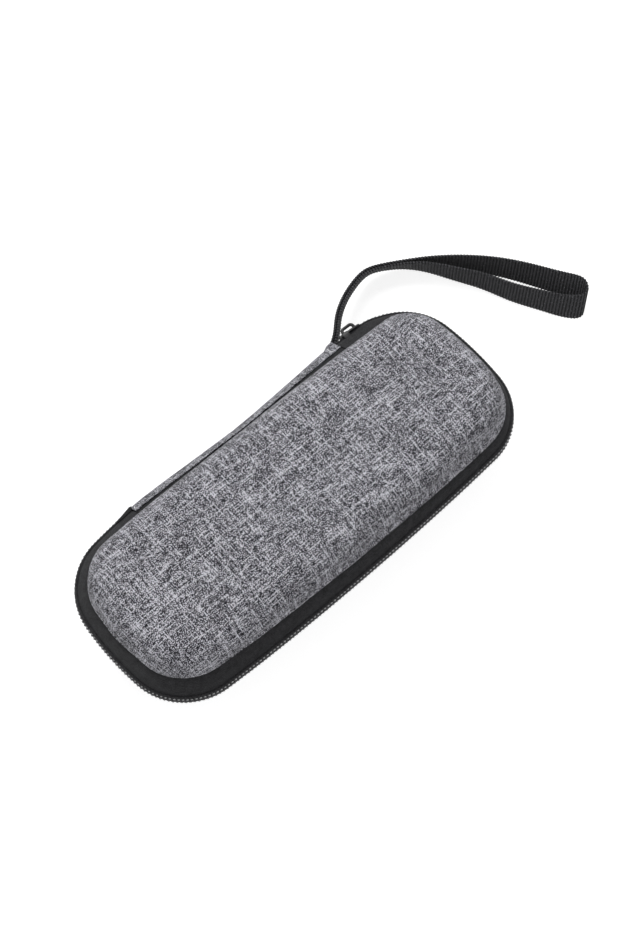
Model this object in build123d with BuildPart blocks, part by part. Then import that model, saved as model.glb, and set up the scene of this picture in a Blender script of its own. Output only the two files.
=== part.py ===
"""Zipped travel case for a shaver: two padded shells on a fabric hinge.

Millimetres. X runs along the case, -Y is the side that opens, +Y the hinge
side and Z is up. The origin is the centre of the face that the case rests on.
A cross-section is given by two numbers: the inset from the zipper's outer
outline and the rise above (lid) or below (base) the plane of the zipper.
"""
from build123d import *
from math import acos, asin, atan, atan2, ceil, cos, degrees, hypot, radians, sin, sqrt, tan
import os

# Outer outline, along the outside of the zipper
CASE_LENGTH = 200.0
CASE_WIDTH = 84.7
LONG_SIDE_BOW = 3.6
SHORT_SIDE_BOW = 6.5
CORNER_RADIUS = 27.8

# Heights from the zipper's plane
BASE_HEIGHT = 26.0
LID_HEIGHT = 25.0
RIM_RISE = 3.5
SEAM_RISE = 10.4
SHOULDER_RISE = 12.0

# Insets of the wall's outer face
RIM_INSET = 1.9
SHOULDER_INSET = 6.0
CROWN_RADIUS = 12.5
CROWN_STEPS = 3

# Furthest that a straight length of the soft inner outlines lies inside its arc
CHORD_SAG = 0.2

# Layers of the wall
COVER_THICKNESS = 1.0
COVER_PROUD = 0.4
FOAM_THICKNESS = 4.0
LINING_THICKNESS = 0.6
LAYER_GAP = 0.05

# Rim binding
BINDING_THICKNESS = 0.45
BINDING_SETBACK = 1.5
BINDING_RISE = 8.0
BINDING_GAP = 0.1

# Zipper tape
TAPE_THICKNESS = 0.6
TAPE_EDGE_RISE = 0.9
TAPE_SEAM_GAP = 0.2
TAPE_GAP = 0.1

# Zipper elements
ELEMENT_PITCH = 3.0
ELEMENT_WIDTH = 1.2
ELEMENT_DEPTH = 1.5
ELEMENT_REACH = 1.2
SPINE_RISE = 1.5
SPINE_TOP = 2.9
COIL_SAG = 0.05

# Where things end along the hinge side
HINGE_UPPER_END = 57.3
HINGE_LOWER_END = -54.0
FLEX_CHAIN_START = 64.2
FLEX_CORNER_TURN = 12.0
CHAIN_END_GAP = 0.4

# Hinge
HINGE_FABRIC_THICKNESS = 0.8
HINGE_FABRIC_INSET = 0.9
HINGE_LINING_THICKNESS = 0.5
HINGE_LINING_GAP = 0.15

# Slider and its pull
SLIDER_X = 66.5
SLIDER_LENGTH = 10.0
SLIDER_TAIL_HEIGHT = 6.6
PLATE_THICKNESS = 1.0
CHAIN_CLEARANCE = 0.35
FLANGE_THICKNESS = 0.7
INNER_PLATE_HEIGHT = 5.2
POST_LENGTH = 1.6
POST_HEIGHT = 1.3
BRIDGE_WIRE = 1.5
BRIDGE_WIRE_SIDES = 8
BRIDGE_SPAN = 5.6
BRIDGE_RISE = 3.0
BRIDGE_CORNER = 1.3
PULL_THICKNESS = 0.8
PULL_LENGTH = 21.0
PULL_WIDTH = 5.2
PULL_NECK = 2.6
PULL_NECK_LENGTH = 8.0
PULL_EYE_RADIUS = 2.7
PULL_EYE_HOLE = 1.45
PULL_WINDOW = 2.4
PULL_GAP = 0.15

# Wrist strap
STRAP_WIDTH = 12.2
STRAP_THICKNESS = 1.4
STRAP_LAYER_STEP = 1.0
STRAP_SECTIONS = 56
STRAP_ROOT_DROP = 9.3

# Fabric collar that holds the root of the strap
COLLAR_THICKNESS = 0.7
COLLAR_LENGTH = 4.4
COLLAR_GAP = 0.15

# Folded tape end at the far end of the hinge
END_TAB_LENGTH = 4.5
END_TAB_THICKNESS = 1.0
END_TAB_RISE = 4.2
END_TAB_GAP = 0.15
FLEX_EDGE_GAP = 0.1

# Net pocket in the lid
NET_RISE = 9.0
NET_THICKNESS = 0.5
NET_END_X = 18.0
NET_HOLE = 7.4
NET_PITCH = 9.6
NET_MARGIN = 4.0
POCKET_TRIM_WIDTH = 5.0
POCKET_TRIM_THICKNESS = 1.4
INSIDE_GAP = 0.3

# Elastic retaining band in the base
BAND_X = -12.0
BAND_WIDTH = 22.0
BAND_THICKNESS = 1.2
BAND_RISE = 5.0
BAND_FLAP_RISE = 11.0

# Centre line of the doubled webbing from its root, then of the loop's far and near runs:
# X, Y from the hinge side, share of the root's height, and lean of the upper edge outwards
STRAP_DOUBLED = [
    (56.0, 0.8, 1.0, 0.0),
    (59.7, 3.7, 0.97, -0.08),
    (64.0, 6.4, 0.93, -0.20),
    (71.3, 12.8, 0.78, -0.30),
    (80.3, 18.7, 0.61, -0.25),
    (90.0, 22.4, 0.44, -0.10),
    (98.6, 23.6, 0.29, 0.0),
    (106.8, 20.8, 0.16, 0.10),
]
STRAP_FAR_RUN = [
    (122.3, 10.7, 0.075, 0.18),
    (134.0, -0.2, 0.055, 0.25),
    (144.8, -12.7, 0.045, 0.30),
    (153.2, -25.7, 0.04, 0.42),
    (159.8, -37.7, 0.02, 0.60),
]
STRAP_FOLD = [
    (161.9, -44.4, 0.0, 0.75),
    (158.2, -48.6, 0.0, 0.75),
    (152.6, -45.8, 0.02, 0.55),
]
STRAP_NEAR_RUN = [
    (147.0, -36.6, 0.04, 0.35),
    (140.4, -25.2, 0.045, 0.22),
    (133.9, -13.7, 0.055, 0.18),
    (127.2, -2.0, 0.065, 0.15),
    (119.2, 9.0, 0.075, 0.12),
]
STRAP_LEAN_WAY = Vector(0.8, 0.6, 0)

# Derived values
ZIP_Z = BASE_HEIGHT
HALF_LENGTH = CASE_LENGTH / 2
HALF_WIDTH = CASE_WIDTH / 2
LONG_ARC = (HALF_LENGTH**2 + LONG_SIDE_BOW**2) / (2 * LONG_SIDE_BOW)
SHORT_ARC = (HALF_WIDTH**2 + SHORT_SIDE_BOW**2) / (2 * SHORT_SIDE_BOW)
LONG_CENTRE = HALF_WIDTH - LONG_ARC
SHORT_CENTRE = HALF_LENGTH - SHORT_ARC
WALL_SLOPE = atan((SHOULDER_INSET - RIM_INSET) / (SHOULDER_RISE - RIM_RISE))
FOAM_DEPTH = COVER_THICKNESS - COVER_PROUD + LAYER_GAP
LINING_DEPTH = FOAM_DEPTH + FOAM_THICKNESS + LAYER_GAP
CAVITY_DEPTH = LINING_DEPTH + LINING_THICKNESS


def corner_centre():
    """Centre of the corner arc that is tangent to a long and a short side."""
    to_long = LONG_ARC - CORNER_RADIUS
    to_short = SHORT_ARC - CORNER_RADIUS
    run_x, run_y = SHORT_CENTRE, -LONG_CENTRE
    apart = hypot(run_x, run_y)
    along = (to_long**2 - to_short**2 + apart**2) / (2 * apart)
    aside = sqrt(to_long**2 - along**2)
    x = (along * run_x + aside * run_y) / apart
    y = LONG_CENTRE + (along * run_y - aside * run_x) / apart
    if y < 0 or x < 0:
        x = (along * run_x - aside * run_y) / apart
        y = LONG_CENTRE + (along * run_y + aside * run_x) / apart
    return x, y


CORNER_X, CORNER_Y = corner_centre()
LONG_ANGLE = degrees(atan2(CORNER_Y - LONG_CENTRE, CORNER_X))
SHORT_ANGLE = degrees(atan2(CORNER_Y, CORNER_X - SHORT_CENTRE))


def outline_arcs(inset, start_x=0.0, end_x=0.0, turn_short=None):
    """Arcs of the outline, counterclockwise from the hinge side round to it again.

    The run starts at start_x and ends at end_x on the hinge side, or turn_short
    degrees before the last corner's end.
    """
    long_r, short_r, corner_r = LONG_ARC - inset, SHORT_ARC - inset, CORNER_RADIUS - inset
    start = degrees(acos(start_x / LONG_ARC))
    end = degrees(acos(end_x / LONG_ARC))
    turn = LONG_ANGLE - SHORT_ANGLE
    long_sweep = 180 - 2 * LONG_ANGLE
    CenterArc((0, LONG_CENTRE), long_r, start, 180 - LONG_ANGLE - start)
    CenterArc((-CORNER_X, CORNER_Y), corner_r, 180 - LONG_ANGLE, turn)
    CenterArc((-SHORT_CENTRE, 0), short_r, 180 - SHORT_ANGLE, 2 * SHORT_ANGLE)
    CenterArc((-CORNER_X, -CORNER_Y), corner_r, 180 + SHORT_ANGLE, turn)
    CenterArc((0, -LONG_CENTRE), long_r, 180 + LONG_ANGLE, long_sweep)
    CenterArc((CORNER_X, -CORNER_Y), corner_r, 360 - LONG_ANGLE, turn)
    CenterArc((SHORT_CENTRE, 0), short_r, -SHORT_ANGLE, 2 * SHORT_ANGLE)
    if turn_short:
        CenterArc((CORNER_X, CORNER_Y), corner_r, SHORT_ANGLE, turn - turn_short)
    else:
        CenterArc((CORNER_X, CORNER_Y), corner_r, SHORT_ANGLE, turn)
        CenterArc((0, LONG_CENTRE), long_r, LONG_ANGLE, end - LONG_ANGLE)


def hinge_side_y(x, inset=0.0):
    """Y of the hinge side at x."""
    return LONG_CENTRE + sqrt(LONG_ARC**2 - x**2) - inset


def wall_inset(depth, rise):
    """Inset of the sloping wall, depth mm under its outer face, at a rise."""
    return RIM_INSET + depth / cos(WALL_SLOPE) + (rise - RIM_RISE) * tan(WALL_SLOPE)


def shoulder_rise(depth):
    """Rise at which the sloping wall meets the upright one, depth mm further in."""
    return SHOULDER_RISE - depth * (1 / cos(WALL_SLOPE) - 1) / tan(WALL_SLOPE)


def outline_chords(inset):
    """Closed outline in straight lengths, as cut foam and sewn lining have it."""
    turn = LONG_ANGLE - SHORT_ANGLE
    sides = [
        (0, LONG_CENTRE, LONG_ARC, LONG_ANGLE, 180 - 2 * LONG_ANGLE),
        (-CORNER_X, CORNER_Y, CORNER_RADIUS, 180 - LONG_ANGLE, turn),
        (-SHORT_CENTRE, 0, SHORT_ARC, 180 - SHORT_ANGLE, 2 * SHORT_ANGLE),
        (-CORNER_X, -CORNER_Y, CORNER_RADIUS, 180 + SHORT_ANGLE, turn),
        (0, -LONG_CENTRE, LONG_ARC, 180 + LONG_ANGLE, 180 - 2 * LONG_ANGLE),
        (CORNER_X, -CORNER_Y, CORNER_RADIUS, 360 - LONG_ANGLE, turn),
        (SHORT_CENTRE, 0, SHORT_ARC, -SHORT_ANGLE, 2 * SHORT_ANGLE),
        (CORNER_X, CORNER_Y, CORNER_RADIUS, SHORT_ANGLE, turn),
    ]
    points = []
    for x, y, radius, start, sweep in sides:
        count = ceil(radians(sweep) * sqrt(radius / (8 * CHORD_SAG)))
        for number in range(count):
            angle = radians(start + sweep * number / count)
            points.append((x + (radius - inset) * cos(angle), y + (radius - inset) * sin(angle)))
    Polyline(*points, close=True)


def tapered(stations, side, outline):
    """Solid through closed outlines at (rise, inset) stations: side is 1 up and -1 down."""
    with BuildPart() as form:
        for step in zip(stations, stations[1:]):
            for rise, inset in step:
                with BuildSketch(Plane((0, 0, ZIP_Z + side * rise), z_dir=(0, 0, side))):
                    with BuildLine():
                        outline(inset)
                    make_face()
            loft(ruled=True)
    return form.part


def dome(depth, height, side, start, outline):
    """Closed form of one half, depth mm inside its outer face, with its crown in steps."""
    shoulder = shoulder_rise(depth)
    stations = [(start, wall_inset(depth, start))]
    for step in range(CROWN_STEPS + 1):
        angle = radians(90 * step / CROWN_STEPS)
        rise = shoulder + (height - depth - shoulder) * sin(angle)
        inset = SHOULDER_INSET + depth + (CROWN_RADIUS - depth) * (1 - cos(angle))
        stations.append((rise, inset))
    return tapered(stations, side, outline)


def section_plane(path):
    """Plane across the start of a run: X points into the case and Y points up."""
    tangent = path % 0
    inward = Vector(0, 0, 1).cross(tangent)
    return Plane(path @ 0, x_dir=inward, z_dir=tangent)


def run_of(start_x=0.0, end_x=0.0, turn_short=None):
    """Path round the opening side, with the ends that outline_arcs takes."""
    with BuildLine(Plane.XY.offset(ZIP_Z)) as run:
        outline_arcs(0, start_x, end_x, turn_short)
    return run.wire()


def hinge_run(start_x, end_x):
    """Path along the hinge side, from the higher X to the lower."""
    start = degrees(acos(start_x / LONG_ARC))
    end = degrees(acos(end_x / LONG_ARC))
    with BuildLine(Plane.XY.offset(ZIP_Z)) as run:
        CenterArc((0, LONG_CENTRE), LONG_ARC, start, end - start)
    return run.wire()


def flex_run(turn, end_x):
    """Path of the chain's last stretch: the last degrees of the corner and on to end_x."""
    end = degrees(acos(end_x / LONG_ARC))
    with BuildLine(Plane.XY.offset(ZIP_Z)) as run:
        CenterArc((CORNER_X, CORNER_Y), CORNER_RADIUS, LONG_ANGLE - turn, turn)
        CenterArc((0, LONG_CENTRE), LONG_ARC, LONG_ANGLE, end - LONG_ANGLE)
    return run.wire()


def in_chords(path, sag):
    """The same path in straight lengths, which lie at most sag mm inside its arcs."""
    points = [path @ 0]
    for arc in path.order_edges():
        count = ceil(arc.length / sqrt(8 * arc.radius * sag))
        points += [arc @ (number / count) for number in range(1, count + 1)]
    with BuildLine() as run:
        Polyline(*points)
    return run.wire()


def band(points, path, side=1):
    """Solid with a section of (inset, rise) points, carried along a path."""
    with BuildPart() as strip:
        with BuildSketch(section_plane(path)):
            with BuildLine():
                Polyline(*[(inset, side * rise) for inset, rise in points], close=True)
            make_face()
        sweep(path=path, transition=Transition.RIGHT)
    return strip.part


def gap_places(path, offset):
    """Plan places of the gaps between the zipper's elements, offset pitches from the start."""
    count = round(path.length / ELEMENT_PITCH)
    places = []
    for number in range(count + 1):
        along = (number + offset) / count
        if along <= 1:
            point, tangent = path @ along, path % along
            places.append(Location((point.X, point.Y), degrees(atan2(tangent.Y, tangent.X))))
    return places


def coil(path, side, offset):
    """One half of the zipper chain: a comb with its elements past the zipper's plane."""
    comb = [
        (0, -ELEMENT_REACH),
        (0, SPINE_TOP),
        (ELEMENT_DEPTH, SPINE_TOP),
        (ELEMENT_DEPTH, -ELEMENT_REACH),
    ]
    with BuildPart() as chain:
        add(band(comb, in_chords(path, COIL_SAG), side))
        with BuildSketch(Plane.XY.offset(ZIP_Z - side * ELEMENT_REACH)):
            with Locations(*gap_places(path, offset)):
                Rectangle(ELEMENT_PITCH - ELEMENT_WIDTH, 3 * ELEMENT_DEPTH)
        extrude(amount=side * (ELEMENT_REACH + SPINE_RISE), mode=Mode.SUBTRACT)
    return chain.part


os.makedirs("parts", exist_ok=True)

# Padded shells, with their covers and linings: the outer face of a cover has true arcs
LAYERS = {
    "cover": (-COVER_PROUD, COVER_THICKNESS - COVER_PROUD, SEAM_RISE, outline_arcs),
    "shell": (FOAM_DEPTH, FOAM_DEPTH + FOAM_THICKNESS, RIM_RISE, outline_chords),
    "lining": (LINING_DEPTH, CAVITY_DEPTH, RIM_RISE, outline_chords),
}
for half, height, side in (("base", BASE_HEIGHT, -1), ("lid", LID_HEIGHT, 1)):
    for layer, (outer, inner, start, outer_outline) in LAYERS.items():
        outside = dome(outer, height - COVER_PROUD, side, start, outer_outline)
        inside = dome(inner, height - COVER_PROUD, side, start, outline_chords)
        with BuildPart() as piece:
            add(outside)
            add(inside, mode=Mode.SUBTRACT)
        piece.part.label = f"{half}_{layer}"
        export_step(piece.part, f"parts/{half}_{layer}.step")

# Binding over the cut edge of each shell, all the way round: a flat under the edge and a
# leg up the lining
binding_high = RIM_RISE - BINDING_GAP
binding_low = binding_high - BINDING_THICKNESS
binding_in = wall_inset(CAVITY_DEPTH + BINDING_GAP, binding_high)
binding_top_in = wall_inset(CAVITY_DEPTH + BINDING_GAP, BINDING_RISE)
flat_inset = RIM_INSET + BINDING_SETBACK
under_edge = [(binding_low, flat_inset), (binding_high, flat_inset)]
up_lining = [(binding_high, binding_in), (BINDING_RISE, binding_top_in)]
hollow = [
    (binding_low, binding_in + BINDING_THICKNESS),
    (BINDING_RISE, binding_top_in + BINDING_THICKNESS),
]
for half, side in (("base", -1), ("lid", 1)):
    with BuildPart() as binding:
        add(tapered(under_edge, side, outline_chords))
        add(tapered(up_lining, side, outline_chords))
        add(tapered(hollow, side, outline_chords), mode=Mode.SUBTRACT)
    binding.part.label = f"{half}_rim_binding"
    export_step(binding.part, f"parts/{half}_rim_binding.step")

# Zipper tapes: an upright edge behind the elements, then a slope up to the cover's seam
tape_front = ELEMENT_DEPTH + TAPE_GAP
tape_back = tape_front + TAPE_THICKNESS
tape_top = SEAM_RISE - TAPE_SEAM_GAP
bend_rise = RIM_RISE - TAPE_GAP
tape_slope = [
    (tape_front, bend_rise),
    (wall_inset(0, tape_top), tape_top),
    (wall_inset(TAPE_THICKNESS, tape_top), tape_top),
    (tape_back, bend_rise),
]
tape_edge = [
    (tape_front, TAPE_EDGE_RISE),
    (tape_front, bend_rise),
    (tape_back, bend_rise),
    (tape_back, TAPE_EDGE_RISE),
]
tape_section = [tape_edge[0], *tape_slope, tape_edge[3]]
chain_low_x = HINGE_LOWER_END - CHAIN_END_GAP
chain_high_x = HINGE_UPPER_END + CHAIN_END_GAP
rigid_turn = FLEX_CORNER_TURN + degrees(CHAIN_END_GAP / CORNER_RADIUS)

with BuildPart() as base_zipper_tape:
    add(band(tape_section, run_of(chain_low_x, chain_high_x), -1))
base_zipper_tape.part.label = "base_zipper_tape"
export_step(base_zipper_tape.part, "parts/base_zipper_tape.step")

with BuildPart() as lid_zipper_tape:
    add(band(tape_section, run_of(chain_low_x, turn_short=rigid_turn), 1))
    add(band(tape_slope, flex_run(rigid_turn, chain_high_x), 1))
lid_zipper_tape.part.label = "lid_zipper_tape"
export_step(lid_zipper_tape.part, "parts/lid_zipper_tape.step")

# Zipper elements: the lid's stand between the base's
chain_run = run_of(chain_low_x, turn_short=rigid_turn)
for half, side, offset in (("base", -1, 0.0), ("lid", 1, 0.5)):
    with BuildPart() as elements:
        add(coil(chain_run, side, offset))
    elements.part.label = f"{half}_zipper_coil"
    export_step(elements.part, f"parts/{half}_zipper_coil.step")

# Last stretch of the chain beside the hinge, which bends as the lid turns
element_flex = flex_run(FLEX_CORNER_TURN, FLEX_CHAIN_START)
edge_flex = flex_run(FLEX_CORNER_TURN, chain_high_x)
flexing = [
    coil(element_flex, -1, 0.0),
    coil(element_flex, 1, 0.5),
    band([(i, r - FLEX_EDGE_GAP if r == bend_rise else r) for i, r in tape_edge], edge_flex, 1),
]
zipper_end = Compound(children=[solid for piece in flexing for solid in piece.solids()])
zipper_end.label = "zipper_end"
export_step(zipper_end, "parts/zipper_end.step")

# Hinge: the cover's fabric outside and a strip of lining over the gap inside
hinge_path = hinge_run(HINGE_UPPER_END, HINGE_LOWER_END)
fabric_in = HINGE_FABRIC_INSET + HINGE_FABRIC_THICKNESS
fabric_side = [
    (HINGE_FABRIC_INSET, RIM_RISE - HINGE_FABRIC_THICKNESS),
    (wall_inset(0, tape_top), tape_top),
    (wall_inset(TAPE_THICKNESS, tape_top), tape_top),
    (fabric_in, RIM_RISE - HINGE_FABRIC_THICKNESS),
]
mirrored_side = [(inset, -rise) for inset, rise in reversed(fabric_side)]
with BuildPart() as hinge_fabric:
    add(band([*fabric_side, *mirrored_side], hinge_path))
hinge_fabric.part.label = "hinge_fabric"
export_step(hinge_fabric.part, "parts/hinge_fabric.step")

lining_front = RIM_INSET + BINDING_SETBACK
lining_rise = binding_low - HINGE_LINING_GAP
lining_section = [
    (lining_front, -lining_rise),
    (lining_front, lining_rise),
    (lining_front + HINGE_LINING_THICKNESS, lining_rise),
    (lining_front + HINGE_LINING_THICKNESS, -lining_rise),
]
with BuildPart() as hinge_lining:
    add(band(lining_section, hinge_path))
hinge_lining.part.label = "hinge_lining"
export_step(hinge_lining.part, "parts/hinge_lining.step")

# Folded end of the zipper tape, sewn over the start of the chain
tab_path = hinge_run(chain_low_x - CHAIN_END_GAP, chain_low_x - END_TAB_LENGTH)
tab_section = [
    (-END_TAB_GAP, -END_TAB_RISE),
    (-END_TAB_GAP, END_TAB_RISE),
    (-END_TAB_GAP - END_TAB_THICKNESS, END_TAB_RISE - END_TAB_THICKNESS),
    (-END_TAB_GAP - END_TAB_THICKNESS, END_TAB_THICKNESS - END_TAB_RISE),
]
with BuildPart() as zipper_end_tab:
    add(band(tab_section, tab_path))
zipper_end_tab.part.label = "zipper_end_tab"
export_step(zipper_end_tab.part, "parts/zipper_end_tab.step")

# Slider, on a plane through the chain: X along it, Y up and Z out of the case
slider_angle = asin(SLIDER_X / LONG_ARC)
slider_origin = (SLIDER_X, hinge_side_y(SLIDER_X), ZIP_Z)
slider_along = (cos(slider_angle), -sin(slider_angle), 0)
slider_out = (sin(slider_angle), cos(slider_angle), 0)
slider_plane = Plane(slider_origin, x_dir=tuple(-v for v in slider_along), z_dir=slider_out)
half_slider = SLIDER_LENGTH / 2
flange_rise = SPINE_TOP + CHAIN_CLEARANCE
plate_rise = flange_rise + FLANGE_THICKNESS
back_face = tape_back + CHAIN_CLEARANCE / 2
crown_outline = [
    (-half_slider, -SLIDER_TAIL_HEIGHT / 2),
    (0, -plate_rise),
    (half_slider - PLATE_THICKNESS, -plate_rise),
    (half_slider, -plate_rise + 2 * PLATE_THICKNESS),
    (half_slider, plate_rise - 2 * PLATE_THICKNESS),
    (half_slider - PLATE_THICKNESS, plate_rise),
    (0, plate_rise),
    (-half_slider, SLIDER_TAIL_HEIGHT / 2),
]
with BuildPart() as slider_body:
    with BuildSketch(slider_plane.offset(CHAIN_CLEARANCE)):
        with BuildLine():
            Polyline(*crown_outline, close=True)
        make_face()
    extrude(amount=PLATE_THICKNESS)
    with BuildSketch(slider_plane.offset(CHAIN_CLEARANCE)):
        with Locations((half_slider / 2, flange_rise + FLANGE_THICKNESS / 2)):
            Rectangle(half_slider - 2 * PLATE_THICKNESS, FLANGE_THICKNESS)
        with Locations((half_slider / 2, -flange_rise - FLANGE_THICKNESS / 2)):
            Rectangle(half_slider - 2 * PLATE_THICKNESS, FLANGE_THICKNESS)
    extrude(amount=-CHAIN_CLEARANCE - ELEMENT_DEPTH + TAPE_GAP)
    with BuildSketch(slider_plane.offset(CHAIN_CLEARANCE)):
        with Locations((half_slider - PLATE_THICKNESS - POST_LENGTH / 2, 0)):
            Rectangle(POST_LENGTH, POST_HEIGHT)
    extrude(amount=-CHAIN_CLEARANCE - back_face - PLATE_THICKNESS / 2)
    with BuildSketch(slider_plane.offset(-back_face)):
        RectangleRounded(SLIDER_LENGTH - 2 * PLATE_THICKNESS, INNER_PLATE_HEIGHT, PLATE_THICKNESS)
    extrude(amount=-PLATE_THICKNESS * 0.8)
    top = slider_body.edges().group_by(Axis(slider_origin, slider_out))[-1]
    fillet(top, radius=PLATE_THICKNESS * 0.4)
slider_body.part.label = "slider_body"
export_step(slider_body.part, "parts/slider_body.step")

# Bridge of bent wire on the slider; the pull turns on its leg nearer the hinge
crown_face = CHAIN_CLEARANCE + PLATE_THICKNESS
leg_x = half_slider / 2 - PLATE_THICKNESS / 2
bridge_plane = Plane(slider_origin, x_dir=tuple(-v for v in slider_along), z_dir=(0, 0, -1))
with BuildPart() as slider_bridge:
    with BuildLine(bridge_plane) as wire_line:
        FilletPolyline(
            (leg_x, crown_face),
            (leg_x, crown_face + BRIDGE_RISE),
            (leg_x - BRIDGE_SPAN, crown_face + BRIDGE_RISE),
            (leg_x - BRIDGE_SPAN, crown_face),
            radius=BRIDGE_CORNER,
        )
    with BuildSketch(slider_plane.offset(crown_face)):
        with Locations((leg_x, 0)):
            RegularPolygon(BRIDGE_WIRE / 2, BRIDGE_WIRE_SIDES)
    sweep(path=wire_line.wire())
slider_bridge.part.label = "slider_bridge"
export_step(slider_bridge.part, "parts/slider_bridge.step")

# Pull: an eye loose on the leg, a neck and a tab that hangs down
eye_drop = PULL_EYE_HOLE - BRIDGE_WIRE / 2 - LAYER_GAP
pull_plane = slider_plane.offset(crown_face + PULL_GAP)
tab_end = -eye_drop - PULL_LENGTH
with BuildPart() as pull_tab:
    with BuildSketch(pull_plane):
        with Locations((leg_x, -eye_drop)):
            Circle(PULL_EYE_RADIUS)
        with BuildLine():
            Polyline(
                (leg_x - PULL_NECK / 2, -eye_drop),
                (leg_x - PULL_NECK / 2, -PULL_NECK_LENGTH + PULL_NECK),
                (leg_x - PULL_WIDTH / 2, -PULL_NECK_LENGTH),
                (leg_x - PULL_WIDTH / 2, tab_end + PULL_WIDTH / 2),
                (leg_x + PULL_WIDTH / 2, tab_end + PULL_WIDTH / 2),
                (leg_x + PULL_WIDTH / 2, -PULL_NECK_LENGTH),
                (leg_x + PULL_NECK / 2, -PULL_NECK_LENGTH + PULL_NECK),
                (leg_x + PULL_NECK / 2, -eye_drop),
                close=True,
            )
        make_face()
        with Locations((leg_x, tab_end + PULL_WIDTH / 2)):
            Circle(PULL_WIDTH / 2)
        with Locations((leg_x, -eye_drop)):
            Circle(PULL_EYE_HOLE, mode=Mode.SUBTRACT)
        with Locations((leg_x, (tab_end - PULL_NECK_LENGTH) / 2)):
            SlotOverall(PULL_LENGTH / 3, PULL_WINDOW, rotation=90, mode=Mode.SUBTRACT)
    extrude(amount=PULL_THICKNESS)
pull_tab.part.label = "pull_tab"
export_step(pull_tab.part, "parts/pull_tab.step")

# Wrist strap: one webbing, doubled from its root, round the loop and back
upright = Vector(0, 0, 1)
strap_root_z = ZIP_Z - STRAP_ROOT_DROP
strap_side_y = hinge_side_y(STRAP_DOUBLED[0][0])


def placed(stations):
    """Points of the webbing's middle, from the hinge side and up from the table."""
    rest_z = STRAP_WIDTH / 2
    return [
        Vector(x, strap_side_y + y, rest_z + share * (strap_root_z - rest_z))
        for x, y, share, lean in stations
    ]


def layer_points(aside):
    """Points of the doubled stretch, one layer of it moved aside from the middle."""
    middles = placed(STRAP_DOUBLED)
    points = []
    for number, middle in enumerate(middles):
        ahead = middles[min(number + 1, len(middles) - 1)]
        behind = middles[max(number - 1, 0)]
        flat_way = Vector(ahead.X - behind.X, ahead.Y - behind.Y, 0)
        out = flat_way.cross(upright).normalized()
        points.append(middle - out * aside)
    return points


def lean_at(share, shares, leans):
    """Lean of the webbing at a share of its length, between the nearest stations."""
    for number in range(1, len(shares)):
        if share <= shares[number]:
            step = shares[number] - shares[number - 1]
            part = (share - shares[number - 1]) / step
            return leans[number - 1] + part * (leans[number] - leans[number - 1])
    return leans[-1]


loop_stations = [*STRAP_FAR_RUN, *STRAP_FOLD, *STRAP_NEAR_RUN]
stations = [*STRAP_DOUBLED, *loop_stations, *reversed(STRAP_DOUBLED)]
near_layer = layer_points(-STRAP_LAYER_STEP)
strap_points = [*layer_points(STRAP_LAYER_STEP), *placed(loop_stations), *reversed(near_layer)]
strap_leans = [lean for x, y, share, lean in stations]
strap_line = Spline(*strap_points)
strap_shares = [strap_line.param_at_point(point) for point in strap_points]
with BuildPart() as wrist_strap:
    for number in range(STRAP_SECTIONS + 1):
        share = number / STRAP_SECTIONS
        tangent = strap_line % share
        across = (upright + STRAP_LEAN_WAY * lean_at(share, strap_shares, strap_leans)).normalized()
        aside = across.cross(tangent)
        with BuildSketch(Plane(strap_line @ share, x_dir=aside, z_dir=aside.cross(across))):
            Rectangle(STRAP_THICKNESS, STRAP_WIDTH)
    loft(ruled=True)
wrist_strap.part.label = "wrist_strap"
export_step(wrist_strap.part, "parts/wrist_strap.step")

# Net pocket in the lid and its elastic trim
net_inset = wall_inset(CAVITY_DEPTH + BINDING_GAP + INSIDE_GAP, NET_RISE) + BINDING_THICKNESS
with BuildPart() as mesh_pocket_net:
    with BuildSketch(Plane.XY.offset(ZIP_Z + NET_RISE)):
        with BuildLine():
            outline_arcs(net_inset)
        make_face()
        with Locations((NET_END_X, 0)):
            Rectangle(CASE_LENGTH, CASE_WIDTH, align=(Align.MIN, Align.CENTER), mode=Mode.SUBTRACT)
    extrude(amount=NET_THICKNESS)
    net_left = net_inset - HALF_LENGTH
    columns = int((NET_END_X - net_left - 2 * NET_MARGIN - NET_HOLE) / NET_PITCH) + 1
    rows = int((CASE_WIDTH - 2 * net_inset - 2 * NET_MARGIN - NET_HOLE) / NET_PITCH) + 1
    with BuildSketch(Plane.XY.offset(ZIP_Z + NET_RISE)):
        with Locations(((net_left + NET_END_X) / 2 + NET_MARGIN / 2, 0)):
            with GridLocations(NET_PITCH, NET_PITCH, columns - 1, rows):
                Rectangle(NET_HOLE, NET_HOLE)
    extrude(amount=NET_THICKNESS, mode=Mode.SUBTRACT)
mesh_pocket_net.part.label = "mesh_pocket_net"
export_step(mesh_pocket_net.part, "parts/mesh_pocket_net.step")

trim_middle = NET_END_X + CHAIN_END_GAP + POCKET_TRIM_WIDTH / 2
with BuildPart() as mesh_pocket_trim:
    with BuildSketch(Plane.XY.offset(ZIP_Z + NET_RISE + NET_THICKNESS / 2)):
        with BuildLine():
            outline_arcs(net_inset)
        make_face()
        with Locations((trim_middle, 0)):
            Rectangle(POCKET_TRIM_WIDTH, CASE_WIDTH, mode=Mode.INTERSECT)
    extrude(amount=POCKET_TRIM_THICKNESS / 2, both=True)
mesh_pocket_trim.part.label = "mesh_pocket_trim"
export_step(mesh_pocket_trim.part, "parts/mesh_pocket_trim.step")

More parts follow.
